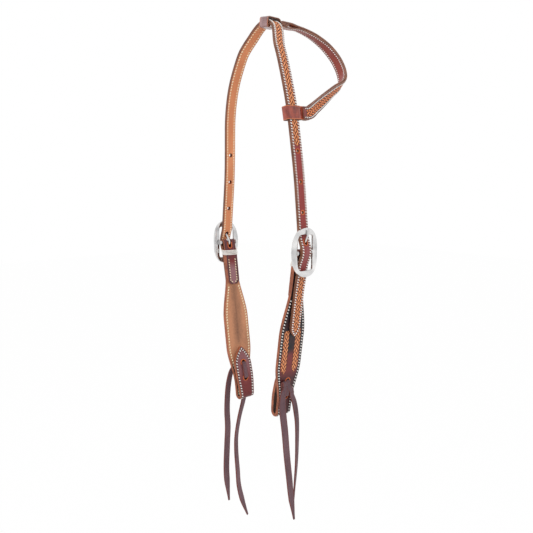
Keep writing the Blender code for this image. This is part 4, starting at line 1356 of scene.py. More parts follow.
@dataclass(frozen=True)
class CrownStrap:
    """The crown: grain and lining sewn together, over the poll and through both buckles."""

    layout: Layout
    work: Workroom
    tail_below_bar: float = 0.112
    point_length: float = 0.014
    point_width: float = 0.0022
    point_fullness: float = 0.8
    hole: float = 0.0054
    hole_pitch: float = 0.0381
    free_holes: int = 3
    tongue_hole_length: float = 0.0084
    tongue_hole_above_bar: float = 0.0123
    cut_through: float = 0.02
    closing: float = 0.00013
    back_groove: float = 0.00025
    plain_from: float = 0.1605
    plain_to: float = 0.3210
    light_fade: float = 0.01
    field_from_edge: float = 0.0033
    rim: float = 0.0006
    sunk: float = 0.0001
    front_seam: Seam = Seam(pitch=0.0034, length=0.0032, width=0.0018, height=0.0019, tilt=62, inset=0.0020)
    back_seam: Seam = Seam(pitch=0.0037, length=0.0031, width=0.0019, height=0.0015, tilt=-30, inset=0.0025)

    def half(self) -> list[Vector]:
        """The crown's right half.

        Returns:
            Its middle, from just past the poll to the right tail's tip.
        """
        lay = self.layout
        turns = spaced(0, lay.poll_turn, 16)[1:] + spaced(lay.poll_turn, lay.straight_turn, 80)[1:]
        points = [lay.crown_arc_point(turn) for turn in turns]
        top = lay.rim_centre_height + lay.rim_end_width
        joint = lay.bar + Vector((lay.crown_out(top), 0, top))
        straight = points[-1]
        points += [straight.lerp(joint, share) for share in spaced(0, 1, 16)[1:]]
        point_start = self.point_length - self.tail_below_bar
        heights = spaced(top, -lay.tail_lift_end, 60)[1:] + spaced(-lay.tail_lift_end, point_start, 24)[1:]
        heights += [point_start - self.point_length * rising(share) for share in spaced(0, 1, 14)[1:]]
        points += [lay.bar + Vector((lay.crown_out(up), 0, up)) for up in heights]
        return [lay.leaned(point) for point in points]

    def strip(self) -> Strip:
        """The whole crown's way.

        Returns:
            The strip, from the left tip to the right tip.
        """
        lay, half = self.layout, self.half()
        points = [*[Side.LEFT.turned(p) for p in reversed(half)], Vector((0, 0, lay.apex)), *half]
        along = lengths(points)
        widths = []
        for distance in along:
            from_tip = min(distance, along[-1] - distance)
            share = min(from_tip / self.point_length, 1)
            full = rising(share) ** self.point_fullness
            widths.append(self.point_width + (lay.crown_width - self.point_width) * full)
        return lay.hanging(points, widths, Side.RIGHT)

    def holes(self, side: Side) -> list[tuple[Vector, Vector, Vector, float]]:
        """The holes of one side.

        Args:
            side: The side.

        Returns:
            For each hole its middle, the strap's direction, the direction through it, and its length.
        """
        half = self.half()
        along = lengths(half)
        height = -self.layout.bar_drop + self.tongue_hole_above_bar
        first = next(i for i, p in enumerate(half) if p.z <= height)
        share = (half[first - 1].z - height) / (half[first - 1].z - half[first].z)
        travelled = along[first - 1] + share * (along[first] - along[first - 1])
        found = []
        for number in range(self.free_holes + 1):
            target = travelled - number * self.hole_pitch
            i = bisect_right(along, target) - 1
            share = (target - along[i]) / (along[i + 1] - along[i])
            ahead = (half[i + 1] - half[i]).normalized()
            length = self.hole if number else self.tongue_hole_length
            found.append((side.turned(half[i].lerp(half[i + 1], share)), side.turned(ahead),
                          side.turned(ahead.cross(FORWARD).normalized()), length))
        return found

    def field(self, spot: Spot) -> float:
        """How deep a spot lies in the tooled field, below zero outside it."""
        ends = max(spot.centre.z + self.plain_from, -spot.centre.z - self.plain_to)
        return min(spot.edge - self.field_from_edge, ends)

    def light(self, spot: Spot) -> float:
        """The share of the light margin, which only the tails have."""
        return smooth((-spot.centre.z - self.plain_to) / self.light_fade)

    def build(self) -> None:
        """Makes the crown's layers, seams and hole rims."""
        lay, strip = self.layout, self.strip()
        outer = strap_mesh("crown_grain_strap", strip, Section(lay.grain, inset=self.front_seam.inset),
                           lay.apex - lay.grain / 2,
                           Dress(Finish.CROWN_GRAIN, Finish.CROWN_EDGE, Finish.CROWN_FLESH),
                           Zones(self.field, light=self.light))
        section = Section(lay.lining + 2 * self.closing, inset=self.back_seam.inset, groove=0.0,
                          back_groove=self.back_groove, columns=3)
        lining = strap_mesh("crown_lining_strap", strip, section, lay.lining / 2 - lay.apex,
                            Dress(Finish.CROWN_FLESH, Finish.CROWN_EDGE, Finish.CROWN_FLESH))
        found = [*self.holes(Side.RIGHT), *self.holes(Side.LEFT)]
        outlines = [ring_points(c, a, t.cross(a), self.hole, length) for c, a, t, length in found]
        through = [t for _, _, t, _ in found]
        for piece in (outer, lining):
            pierced(piece, outlines, through, self.cut_through)
        rims = [[(p + axis * lay.apex, axis) for p in outline] for outline, axis in zip(outlines, through)]
        entered(outer, "crown", "crown_grain", "crown_outer")
        entered(lining, "crown", "crown_flesh", "crown_lining")
        entered(self.work.hole_beading.made("crown_hole_rims", rims, closed=True, Radius=self.rim), "crown",
                "crown_grain")
        for name, seam, sewing, face in (
                ("crown_front_stitches", self.front_seam, self.work.white_sewing, 1),
                ("crown_back_stitches", self.back_seam, self.work.cream_sewing, -1)):
            line = strip.round_row(seam.inset, self.layout.apex - self.sunk, 0, strip.length, face)
            entered(sewing.made(name, [line], closed=True, **seam.sizes()), "crown", "waxed_thread")


@dataclass(frozen=True)
class EarPiece:
    """The ear piece: a tooled bow of two layers, and the two plain loops that hold it on the crown."""

    layout: Layout
    work: Workroom
    width: float = 0.0159
    reach: float = 0.1034
    bulge: float = 0.0089
    loop_width: float = 0.0170
    loop_thickness: float = 0.0013
    loop_overlap: float = 0.0130
    layer_clear: float = 0.0056
    layer_close: float = 0.0170
    open_share: float = 0.85
    late_twist: float = 1.45
    upper_from_poll: float = 0.0040
    lower_drop: float = 0.1215
    upper_rooms: tuple[float, float, float] = (0.0025, 0.0045, 0.0008)
    lower_rooms: tuple[float, float, float] = (0.0003, 0.0040, 0.0025)
    front_ease: float = 0.0008
    loop_corner: float = 0.0026
    loop_edge: float = 0.0004
    back_groove: float = 0.00025
    field_from_edge: float = 0.0034
    field_start: float = 0.0600
    field_end: float = 0.0045
    seam_end: float = 0.003
    sunk: float = 0.0001
    route: tuple[tuple[float, float, float], ...] = (
        (0.010, 0.340, 0.16), (0.040, 0.480, 0.46), (0.110, 0.665, 0.76), (0.220, 0.845, 0.92),
        (0.370, 0.970, 1.00), (0.525, 1.010, 0.94), (0.640, 0.955, 0.82), (0.727, 0.780, 0.63),
        (0.820, 0.600, 0.42), (0.912, 0.420, 0.20))
    seam: Seam = Seam(pitch=0.0031, length=0.0025, width=0.0014, height=0.0015, tilt=34, inset=0.0024)

    @property
    def start(self) -> float:
        """How far forward of the crown's middle the layers start."""
        return self.layout.crown_width / 2 + self.layer_clear

    @property
    def upper_turn(self) -> float:
        """The crown's turn at the upper loop."""
        return self.upper_from_poll / self.layout.poll_radius

    @property
    def lower_turn(self) -> float:
        """The crown's turn at the lower loop."""
        lay = self.layout
        return math.acos(math.cos(lay.poll_turn) - (self.lower_drop + lay.poll_end.z) / lay.side_radius)

    def loop_frame(self, turn: float) -> tuple[Vector, Vector, Vector, Vector]:
        """A loop's place on the crown.

        Args:
            turn: The crown's turn there.

        Returns:
            Its middle, and the crown's direction, outward normal and front.
        """
        lay = self.layout
        half = self.loop_width / 2 / (lay.poll_radius if turn < lay.poll_turn else lay.side_radius)
        ahead = (lay.crown_arc_point(turn + half) - lay.crown_arc_point(turn - half)).normalized()
        out = ahead.cross(FORWARD).normalized()
        return lay.crown_arc_point(turn), ahead, out, out.cross(ahead)

    def centres(self) -> list[Vector]:
        """The bow's middle.

        Returns:
            Its points, from the upper loop to the lower loop.
        """
        upper, _, _, upper_front = self.loop_frame(self.upper_turn)
        lower, _, _, lower_front = self.loop_frame(self.lower_turn)
        chord = lower - upper
        out = Vector((-chord.z, 0, chord.x)).normalized()
        bow = [upper + chord * k + FORWARD * (self.reach * f) + out * (self.bulge * b)
               for k, f, b in self.route]
        start, straight = self.start + self.loop_corner, self.start + self.loop_overlap
        first = [upper + upper_front * start, upper + upper_front * straight]
        last = [lower + lower_front * straight, lower + lower_front * start]
        return smooth_route([*first, *bow, *last], 12)

    def strip(self, layer: float, way: int) -> Strip:
        """One layer's way.

        Args:
            layer: Its thickness.
            way: 1 for the outer layer, -1 for the lining.

        Returns:
            The strip, with normals on the bow's outside.
        """
        points = self.centres()
        along = lengths(points)
        first, last = -self.upper_turn, math.pi - self.lower_turn
        closed = self.layout.ease / 2 + layer / 2
        opened = self.layout.gap / 2 + self.loop_thickness + self.layout.ease + layer / 2
        stations = []
        for point, ahead, distance in zip(points, tangents(points), along):
            roll = first + (last - first) * smooth(distance / along[-1]) ** self.late_twist
            across = squared(Vector((math.cos(roll), 0, math.sin(roll))), ahead)
            normal = across.cross(ahead).normalized()
            from_end = min(distance, along[-1] - distance)
            spread = opened + (closed - opened) * smooth(from_end / self.layer_close - self.open_share)
            stations.append(Station(point + normal * (way * spread), across, normal, self.width))
        return Strip(stations)

    def loop(self, name: str, node: str, turn: float, rooms: tuple[float, float, float],
             finish: Finish) -> None:
        """Makes one plain loop round the crown.

        Args:
            name: The piece's name.
            node: The node it stands for.
            turn: The crown's turn at the loop.
            rooms: The room above, below and behind the crown.
            finish: The finish of its outside.
        """
        centre, along, out, front = self.loop_frame(turn)
        lay, half = self.layout, self.loop_thickness / 2
        above, below, behind = rooms
        top, bottom = lay.apex + above + half, -(lay.apex + below + half)
        side, back = lay.crown_width / 2 + self.front_ease + half, -(lay.crown_width / 2 + behind + half)
        lip, end = lay.gap / 2 + half, self.start + self.loop_overlap
        outline = ((end, lip), (self.start, lip), (side, top), (back, top),
                   (back, bottom), (side, bottom), (self.start, -lip), (end, -lip))
        points = rounded([centre + front * p + out * q for p, q in outline], self.loop_corner, 10)
        strip = Strip([Station(p, along, along.cross(ahead).normalized(), self.loop_width)
                       for p, ahead in zip(points, tangents(points))])
        made = strap_mesh(name, strip, Section(self.loop_thickness, corner=self.loop_edge, groove=0.0), 0.0,
                          Dress(Finish.LOOP_FLESH, Finish.EAR_EDGE, finish))
        entered(made, "ear_piece", "ear_loop_leather", node)

    def build(self) -> None:
        """Makes the bow's layers, its seams and its loops."""
        lay = self.layout
        outer, lining = self.strip(lay.grain, 1), self.strip(lay.lining, -1)
        zones = Zones(lambda spot: min(spot.edge - self.field_from_edge, spot.travelled - self.field_start,
                                       outer.length - spot.travelled - self.field_end))
        face = strap_mesh("ear_bow_grain", outer, Section(lay.grain, inset=self.seam.inset), 0.0,
                          Dress(Finish.EAR_GRAIN, Finish.EAR_EDGE, Finish.CROWN_FLESH), zones)
        back = strap_mesh("ear_bow_lining", lining,
                          Section(lay.lining, inset=self.seam.inset, groove=0.0,
                                  back_groove=self.back_groove), 0.0,
                          Dress(Finish.EAR_LINING, Finish.EAR_EDGE, Finish.EAR_LINING))
        entered(face, "ear_piece", "ear_grain", "ear_outer")
        entered(back, "ear_piece", "ear_flesh", "ear_lining")
        for name, strip, rise, way in (("ear_front_stitches", outer, lay.grain / 2, 1),
                                       ("ear_back_stitches", lining, lay.lining / 2, -1)):
            lines = [strip.row(side, self.seam.inset, rise - self.sunk, self.seam_end,
                               strip.length - self.seam_end, way) for side in (1, -1)]
            made = self.work.white_sewing.made(name, lines, **self.seam.sizes())
            entered(made, "ear_piece", "waxed_thread")
        self.loop("ear_upper_wrap", "ear_upper_loop", self.upper_turn, self.upper_rooms, Finish.POLL_LOOP)
        self.loop("ear_lower_wrap", "ear_lower_loop", self.lower_turn, self.lower_rooms, Finish.LOOP)


@dataclass(frozen=True)
class CartBuckle:
    """A cart buckle: a dished oval frame with lugs, the bar in them, and the tongue."""

    layout: Layout
    side: Side
    outer_squareness: float = 2.35
    inner_squareness: float = 7.0
    side_dish_share: float = 0.70
    post_radius: float = 0.0026
    lug_radius: float = 0.0036
    lug_reach: float = 0.0034
    lug_corner: float = 0.0008
    bar_in_lug: float = 0.002
    bar_corner: float = 0.0003
    tip_radius: float = 0.0011
    tip_rounding: float = 0.0012
    tip_blunt: float = 0.2
    curl_start: float = math.radians(60)
    steps: int = 144
    rod_sides: int = 28
    wire_sides: int = 18
    sharp: float = 50.0
    dome: tuple[tuple[float, float], ...] = (
        (0.0, -0.55), (0.0, 0.10), (0.05, 0.42), (0.13, 0.66), (0.24, 0.84), (0.38, 0.95), (0.50, 0.98),
        (0.62, 0.95), (0.76, 0.84), (0.87, 0.66), (0.95, 0.42), (1.0, 0.10), (1.0, -0.55), (0.95, -0.85),
        (0.85, -1.0), (0.5, -1.0), (0.15, -1.0), (0.05, -0.85))

    def oval(self, angle: float, forward: float, up: float, squareness: float) -> Vector:
        """A point of a squared oval.

        Args:
            angle: The angle round it.
            forward: Its half width.
            up: Its half height.
            squareness: Its power, 2 for an ellipse.

        Returns:
            The point, in the bar's upright plane.
        """
        c, s = math.cos(angle), math.sin(angle)
        return Vector((0, forward * math.copysign(abs(c) ** (2 / squareness), c),
                       up * math.copysign(abs(s) ** (2 / squareness), s)))

    def rim(self) -> bmesh.types.BMesh:
        """The frame's domed rim.

        Returns:
            Its mesh on the right side.
        """
        lay = self.layout
        bm = bmesh.new()
        rows = []
        for i in range(self.steps):
            angle = 2 * math.pi * (i + 0.5) / self.steps
            outer = self.oval(angle, lay.buckle_width / 2, lay.buckle_height / 2, self.outer_squareness)
            inner = self.oval(angle, lay.buckle_width / 2 - lay.rim_side_width,
                              lay.buckle_height / 2 - lay.rim_end_width, self.inner_squareness)
            middle = (outer.z + inner.z) / 2
            share = min(abs(middle) / lay.rim_centre_height, 1) ** 2
            dish = lay.rim_dish * (self.side_dish_share + (1 - self.side_dish_share) * share)
            row = []
            for across, through in self.dome:
                point = lay.bar + inner.lerp(outer, across)
                row.append(bm.verts.new(point + Vector((dish + through * lay.rim_thickness / 2, 0, 0))))
            rows.append(row)
        skinned(bm, rows, looped=True)
        return bm

    def turned_rod(self, bm: bmesh.types.BMesh, start: float, end: float, radius: float,
                   corner: float) -> None:
        """Adds a rod along Y with rounded ends, about the bar's middle.

        Args:
            bm: The mesh it goes into.
            start: Where it starts, forward of the bar's middle.
            end: Where it ends.
            radius: Its radius.
            corner: How far its ends are rounded.
        """
        quarter = [(corner * (1 - math.cos(a)), radius - corner * (1 - math.sin(a)))
                   for a in spaced(0, math.pi / 2, 5)]
        profile = [(start + along, out) for along, out in quarter]
        profile += [(end - along, out) for along, out in reversed(quarter)]
        turns = spaced(0, 2 * math.pi, self.rod_sides)[:-1]
        skinned(bm, [[bm.verts.new(self.layout.bar + Vector((out * math.cos(a), along, out * math.sin(a))))
                      for a in turns] for along, out in profile])

    def enter(self, name: str, bm: bmesh.types.BMesh, finish: Finish, body: str, slot: str,
              node: str) -> None:
        """Turns right-side metal into a piece of this side and enters it.

        Args:
            name: The piece's name, without its side.
            bm: Its mesh on the right side.
            finish: Its finish.
            body: The body it rides on, without its side.
            slot: The record's material slot.
            node: The node it stands for, without its side.
        """
        own = self.side.own
        bmesh.ops.scale(bm, vec=(self.side.value, 1, 1), verts=bm.verts)
        entered(meshed(own(name), bm, [finish], self.sharp), own(body), slot, own(node))

    def tongue_line(self, hole: Vector) -> list[Vector]:
        """The tongue's middle: its curl round the bar, through the hole, onto the top rim.

        Args:
            hole: The middle of the tongue hole on the right side.

        Returns:
            The line.
        """
        lay = self.layout
        target = hole - lay.bar
        bearing = math.atan2(target.z, target.x)
        leave = bearing + math.acos(lay.tongue_ring / math.hypot(target.x, target.z))
        sweep = spaced(self.curl_start, leave - 2 * math.pi, 40)
        curl = [Vector((lay.tongue_ring * math.cos(a), 0, lay.tongue_ring * math.sin(a))) for a in sweep]
        face = lay.rim_dish + lay.rim_thickness / 2 + lay.gap + lay.tongue_radius
        rest = Vector((face, 0, lay.rim_centre_height - lay.rim_end_width / 6))
        tip = Vector((face + self.tip_radius / 4, 0, lay.buckle_height / 2 - lay.tongue_radius))
        middle = target.lerp(rest, 0.5) + Vector((lay.tongue_radius / 2, 0, 0))
        shaft = smooth_route([curl[-1].lerp(target, 0.5), target, middle, rest, tip], 9)
        return [lay.bar + p for p in [*curl, *shaft]]

    def tongue(self, hole: Vector) -> bmesh.types.BMesh:
        """The tongue's wire, tapered and rounded at its tip.

        Args:
            hole: The middle of the tongue hole on the right side.

        Returns:
            Its mesh on the right side.
        """
        points = self.tongue_line(hole)
        along = lengths(points)
        bm = bmesh.new()
        rows = []
        for point, ahead, distance in zip(points, tangents(points), along):
            left = along[-1] - distance
            radius = self.tip_radius + (self.layout.tongue_radius - self.tip_radius) * smooth(
                left / (self.layout.buckle_height / 4))
            radius *= max(math.sqrt(1 - max(1 - left / self.tip_rounding, 0) ** 2), self.tip_blunt)
            out = Vector((-ahead.z, 0, ahead.x))
            rows.append([bm.verts.new(point + FORWARD * (radius * math.cos(a)) + out * (radius * math.sin(a)))
                         for a in spaced(0, 2 * math.pi, self.wire_sides)[:-1]])
        skinned(bm, rows)
        return bm

    def build(self, hole: Vector) -> None:
        """Makes the frame, the bar and the tongue.

        Args:
            hole: The middle of the tongue hole on the right side.
        """
        lay = self.layout
        inner = lay.rim_centre_width - lay.rim_side_width / 2
        bm = self.rim()
        for way in (1, -1):
            near, far = way * (inner - lay.ease), way * (inner - lay.ease + self.lug_reach)
            self.turned_rod(bm, min(near, far), max(near, far), self.lug_radius, self.lug_corner)
            place = Matrix.Translation(lay.bar + Vector((lay.rim_dish / 2, (near + far) / 2, 0)))
            bmesh.ops.create_cone(
                bm, cap_ends=True, segments=self.rod_sides, radius1=self.lug_radius, radius2=self.post_radius,
                depth=lay.rim_dish, matrix=place @ Matrix.Rotation(math.pi / 2, 4, "Y"))
        self.enter("cart_buckle", bm, Finish.NICKEL, "buckle", "nickel", "buckle_frame")
        bm = bmesh.new()
        reach = inner + self.bar_in_lug
        self.turned_rod(bm, -reach, reach, lay.bar_radius, self.bar_corner)
        self.enter("cross_bar", bm, Finish.STEEL, "buckle", "bar_steel", "buckle_bar")
        self.enter("tongue_wire", self.tongue(hole), Finish.NICKEL, "tongue", "nickel", "buckle_tongue")


@dataclass(frozen=True)
class CheekZones:
    """How a cheek's grain side is divided: two tooled bands on the front, with a dark field between."""

    front: float
    fold: float
    band_start: float = 0.1040
    band_narrow: float = 0.1120
    band_end: float = 0.1690
    band_from_edge: float = 0.0056
    band_from_middle: tuple[float, float] = (0.0052, 0.0010)
    tip_slope: float = 0.62
    # Chape and tab: a darker tone that drops below zero into a painted sheen at the chape's end and the tab's
    # top.
    chape_tone_and_sheen: tuple[float, float, float, float] = (0.30, 0.95, 0.020, 0.020)
    tab_tone_and_sheen: tuple[float, float, float, float] = (0.25, 0.65, 0.018, 0.030)
    dark_tone: tuple[float, float, float] = (0.95, 0.130, 0.014)
    end_tone: tuple[float, float, float] = (0.7, 0.158, 0.02)
    end_light: tuple[float, float, float] = (0.2, 0.165, 0.03)

    def field(self, spot: Spot) -> float:
        """How deep a spot lies in a tooled band.

        Args:
            spot: The spot.

        Returns:
            The depth, below zero outside it.
        """
        below = spot.travelled - self.front
        if not 0 < below < self.fold - self.front:
            return -1.0
        share = min(max((below - self.band_narrow) / (self.band_end - self.band_narrow), 0), 1)
        centre = self.band_from_middle[0] - self.band_from_middle[1] * share
        inner = abs(spot.aside) - centre
        middle = centre + (inner + spot.edge - self.band_from_edge) / 2
        tip = (self.band_end - below) * self.tip_slope - abs(abs(spot.aside) - middle)
        return min(spot.edge - self.band_from_edge, inner, below - self.band_start, tip)

    def tone(self, spot: Spot) -> float:
        """The share of the dark tone: all of the field between the bands, less of the chape and the tab.

        Args:
            spot: The spot.

        Returns:
            The share, below zero where a painted sheen pales the chape's end and the tab's top.
        """
        below = spot.travelled - self.front
        if below <= 0:
            tone, sheen_drop, start, reach = self.chape_tone_and_sheen
            return tone - sheen_drop * (1 - smooth((spot.travelled - start) / reach))
        if below >= self.fold - self.front:
            tone, sheen_drop, start, reach = self.tab_tone_and_sheen
            return tone - sheen_drop * smooth((below - self.fold + self.front - start) / reach)
        (dark, start, reach), (end, end_start, end_reach) = self.dark_tone, self.end_tone
        return dark * (1 - smooth((below - start) / reach)) + end * smooth((below - end_start) / end_reach)

    def light(self, spot: Spot) -> float:
        """The share of the light margin: all of it on the chape and the tab, a little by the fold.

        Args:
            spot: The spot.

        Returns:
            The share.
        """
        share, start, reach = self.end_light
        below = spot.travelled - self.front
        return 1.0 if below > self.fold - self.front or below < 0 else smooth((below - start) / reach) * share


@dataclass(frozen=True)
class CheekPiece:
    """A flared cheek: chape round the bar, front, fold at the bit end, and pointed tab, lined and sewn."""

    layout: Layout
    work: Workroom
    side: Side
    chape_width: float = 0.0205
    chape_length: float = 0.0605
    slot_width: float = 0.0066
    slot_below_bar: float = 0.0085
    lining_below_bar: float = 0.0098
    width: float = 0.0420
    flare_start: float = 0.0440
    flare_end: float = 0.1120
    taper_start: float = 0.1520
    taper_end: float = 0.2080
    fold_width: float = 0.0240
    tab_width: float = 0.0292
    tab_widest: float = 0.0380
    tab_point_start: float = 0.0500
    point_width: float = 0.0022
    cut_through: float = 0.03
    closing: float = 0.00025
    back_groove: float = 0.00025
    rim: float = 0.0007
    thread: float = 0.0012
    flattening: float = 0.00012
    whip_turns: int = 4
    whip_pitch: float = 0.0018
    whip_below_bar: float = 0.0104
    crest_share: float = 0.98
    chape_end_share: float = 0.35
    chape_end_length: float = 0.004
    point_fullness: float = 0.85
    seam_below_bar: float = 0.0620
    chape_seam_ends: tuple[float, float] = (0.0025, 0.007)
    back_seam_ends: tuple[float, float] = (0.003, 0.004)
    sunk: float = 0.00015
    back_rise: float = 0.00005
    smudge_share: float = 0.60
    smudge_half: float = 0.011
    smudge_end: float = 0.1690
    smudge_fade: float = 0.03
    # The painted shade on the lining near the fold: how far above the cheek's lowest point it starts, and
    # over what length it fades in.
    fold_shade_reach: float = 0.060
    fold_shade_fade: float = 0.02
    pale: float = 0.2
    front_seam: Seam = Seam(pitch=0.0040, length=0.0034, width=0.0019, height=0.0018, tilt=60, inset=0.0028)
    chape_seam: Seam = Seam(pitch=0.0035, length=0.0028, width=0.0017, height=0.0016, tilt=30, inset=0.0046)
    back_seam: Seam = Seam(pitch=0.0040, length=0.0033, width=0.0021, height=0.0016, tilt=-30, inset=0.0036)

    def width_at(self, below_bar: float) -> float:
        """The front's width.

        Args:
            below_bar: The distance below the bar.

        Returns:
            The width there.
        """
        flare = smooth((below_bar - self.flare_start) / (self.flare_end - self.flare_start))
        taper = smooth((below_bar - self.taper_start) / (self.taper_end - self.taper_start))
        widened = self.chape_width + (self.width - self.chape_width) * flare
        return widened - (self.width - self.fold_width) * taper

    def tab_width_at(self, height: float) -> float:
        """The tab's width.

        Args:
            height: The height above the fold's bottom.

        Returns:
            The width there.
        """
        if height >= self.tab_point_start:
            share = (self.layout.tab_length - height) / (self.layout.tab_length - self.tab_point_start)
            full = rising(share) ** self.point_fullness
            return self.point_width + (self.tab_width - self.point_width) * full
        return self.fold_width + (self.tab_width - self.fold_width) * smooth(height / self.tab_widest)

    def strip(self) -> Strip:
        """The grain layer's way.

        Returns:
            The strip, from the chape's end to the tab's tip.
        """
        lay = self.layout
        points, widths = [], []
        for up in spaced(-self.chape_length, 0, 36):
            points.append(lay.bar + Vector((lay.chape_out(up), 0, up)))
            close = max(0, 1 - (up + self.chape_length) / self.chape_end_length)
            widths.append(self.chape_width * (1 - self.chape_end_share * close))
        for angle in spaced(math.pi, 0, 16)[1:]:
            points.append(lay.bar + lay.chape_radius * Vector((math.cos(angle), 0, math.sin(angle))))
            widths.append(self.chape_width)
        bottom = -(lay.cheek_length - lay.fold_radius)
        for up in spaced(0, -lay.weave_length, 14)[1:] + spaced(-lay.weave_length, bottom, 104)[1:]:
            points.append(lay.bar + Vector((lay.cheek_out(up), 0, up)))
            widths.append(self.width_at(-up))
        centre, out, up_tab = lay.fold_frame()
        for angle in spaced(0, math.pi, 16)[1:]:
            points.append(centre + lay.fold_radius * (out * math.cos(angle) - up_tab * math.sin(angle)))
            widths.append(self.fold_width)
        heights = spaced(lay.fold_face, self.tab_point_start, 24)[1:]
        rest = lay.tab_length - self.tab_point_start
        heights += [self.tab_point_start + rest * rising(share) for share in spaced(0, 1, 18)[1:]]
        for height in heights:
            points.append(centre - out * (lay.fold_radius - lay.tab_shift(height))
                          + up_tab * (height - lay.fold_face))
            widths.append(self.tab_width_at(height))
        return lay.hanging(points, widths, self.side)

    def on_front(self, strip: Strip) -> tuple[float, float]:
        """Where the front starts and where the fold starts, along the strip.

        Args:
            strip: The grain layer's way.

        Returns:
            Both distances.
        """
        bar = self.layout.bar
        crest_height = bar.z + self.layout.chape_radius * self.crest_share
        crest = next(i for i, s in enumerate(strip.stations) if s.centre.z > crest_height)
        lowest = min(range(len(strip.stations)), key=lambda i: strip.stations[i].centre.z)
        front = next(i for i in range(crest, lowest) if strip.stations[i].centre.z < bar.z)
        return strip.along[front], strip.along[lowest]

    def smudge(self, spot: Spot) -> float:
        """The share of the dark smudge down the middle of the cheek's lining, with painted shade near the
        fold.

        Args:
            spot: The spot.

        Returns:
            The share.
        """
        below = self.layout.bar.z - spot.centre.z
        ends = smooth((below - self.flare_start) / self.smudge_fade)
        ends *= smooth((self.smudge_end - below) / self.smudge_fade)
        # Painted shade: the lining darkens toward the fold, where the front and the tab close in.
        fold_shade = smooth((below - self.layout.cheek_length + self.fold_shade_reach) / self.fold_shade_fade)
        middle = 1 - min(abs(spot.aside) / self.smudge_half, 1)
        return self.smudge_share * ends * middle - self.pale + fold_shade

    def holes(self) -> tuple[list[Vector], Vector, Vector]:
        """The tie holes.

        Returns:
            Their middles, the direction through them and the direction along the cheek.
        """
        lay = self.layout
        centre, out, up = lay.fold_frame()
        middles = [centre + up * (height - lay.fold_face) for height in lay.tie_heights]
        return [self.side.turned(p) for p in middles], self.side.turned(out), self.side.turned(up)

    def build(self) -> None:
        """Makes the cheek's layers, its seams, its hole rims and its thread whipping."""
        lay, strip = self.layout, self.strip()
        front, fold = self.on_front(strip)
        zones = CheekZones(front, fold)
        outer = strap_mesh(self.side.own("cheek_grain"), strip,
                           Section(lay.grain, inset=self.front_seam.inset, columns=8), 0.0,
                           Dress(Finish.CHEEK_GRAIN, Finish.CHEEK_EDGE, Finish.CHEEK_FLESH),
                           Zones(zones.field, zones.tone, zones.light))
        start = next(i for i, d in enumerate(strip.along) if d > front + self.lining_below_bar)
        lining_strip = Strip(strip.stations[start:])
        section = Section(lay.lining + self.closing, inset=self.back_seam.inset, groove=0.0,
                          back_groove=self.back_groove, columns=6)
        lining = strap_mesh(self.side.own("cheek_flesh_lining"), lining_strip, section,
                            -lay.lining_from_grain,
                            Dress(Finish.CHEEK_FLESH, Finish.CHEEK_EDGE, Finish.CHEEK_FLESH),
                            Zones(tone=self.smudge))
        middles, through, up = self.holes()
        outlines = [ring_points(c, up, FORWARD, lay.tie_hole, lay.tie_hole) for c in middles]
        slot_top = lay.chape_radius + lay.grain + self.slot_width
        axis = self.side.turned(lay.bar)
        slot = ring_points(axis + Vector((0, 0, (slot_top - self.slot_below_bar) / 2)), Vector((0, 0, 1)),
                           FORWARD, self.slot_width, slot_top + self.slot_below_bar)
        pierced(outer, [*outlines, slot], [through, through, Vector((1, 0, 0))], self.cut_through)
        pierced(lining, outlines, [through, through], self.cut_through)
        self.enter(outer, "cheek_grain", "cheek_outer")
        self.enter(lining, "cheek_flesh", "cheek_lining")
        rims = [[(p + through * (way * (lay.fold_face - shift)), through * way) for p in outline]
                for outline, height in zip(outlines, lay.tie_heights)
                for way, shift in ((1, 0.0), (-1, lay.tab_shift(height)))]
        beading = self.work.hole_beading
        self.enter(beading.made(self.side.own("tie_hole_rims"), rims, closed=True, Radius=self.rim),
                   "cheek_grain")
        self.enter(beading.made(self.side.own("slot_rim"), [self.slot_rim()], Radius=self.rim), "cheek_grain")
        self.sew(strip, lining_strip, front)
        self.whip()

    def enter(self, piece: bpy.types.Object, slot: str, *nodes: str) -> None:
        """Enters a piece of this cheek, whose nodes are named without their side."""
        entered(piece, self.side.own("cheek"), slot, *map(self.side.own, nodes))

    def slot_rim(self) -> list[tuple[Vector, Vector]]:
        """The rim of the tongue's slot on the chape's back.

        Returns:
            Its points, each with the direction out of the chape.
        """
        lay, half = self.layout, self.slot_width / 2
        straight = self.slot_below_bar - half
        plan = [(half, -down) for down in spaced(0, straight, 6)]
        plan += [(half * math.cos(a), -straight - half * math.sin(a)) for a in spaced(0, math.pi, 14)[1:]]
        plan += [(-half, -down) for down in spaced(straight, 0, 6)[1:]]
        return [(self.side.turned(lay.bar + Vector((lay.chape_out(up) - lay.grain / 2, forward, up))),
                 self.side.turned(Vector((-1, 0, 0)))) for forward, up in plan]

    def sew(self, strip: Strip, lining: Strip, front: float) -> None:
        """Sews the front, the fold and the tab, and the chape's end.

        Args:
            strip: The grain layer's way.
            lining: The lining's part of it.
            front: Where the front starts along the strip.
        """
        lay, work = self.layout, self.work
        chape_end = self.chape_length - self.whip_below_bar - self.whip_turns * self.whip_pitch
        lift = lay.grain / 2 - self.sunk
        depth = lay.lining_from_grain + lay.lining / 2 + self.back_rise
        first = self.chape_length - self.lining_below_bar + self.back_seam_ends[0]
        last = lay.cheek_length - self.lining_below_bar - self.back_seam_ends[1]
        round_tab = [strip.round_row(self.front_seam.inset, lift, front + self.seam_below_bar, strip.length)]
        on_chape = [strip.row(way, self.chape_seam.inset, lift, self.chape_seam_ends[0],
                              chape_end - self.chape_seam_ends[1]) for way in (1, -1)]
        on_back = [lining.row(way, self.back_seam.inset, depth, first, last, -1) for way in (1, -1)]
        for name, sewing, lines, seam in (
                ("cheek_stitches", work.white_sewing, round_tab, self.front_seam),
                ("chape_stitches", work.cream_sewing, on_chape, self.chape_seam),
                ("cheek_back_stitches", work.cream_sewing, on_back, self.back_seam)):
            self.enter(sewing.made(self.side.own(name), lines, **seam.sizes()), "waxed_thread")

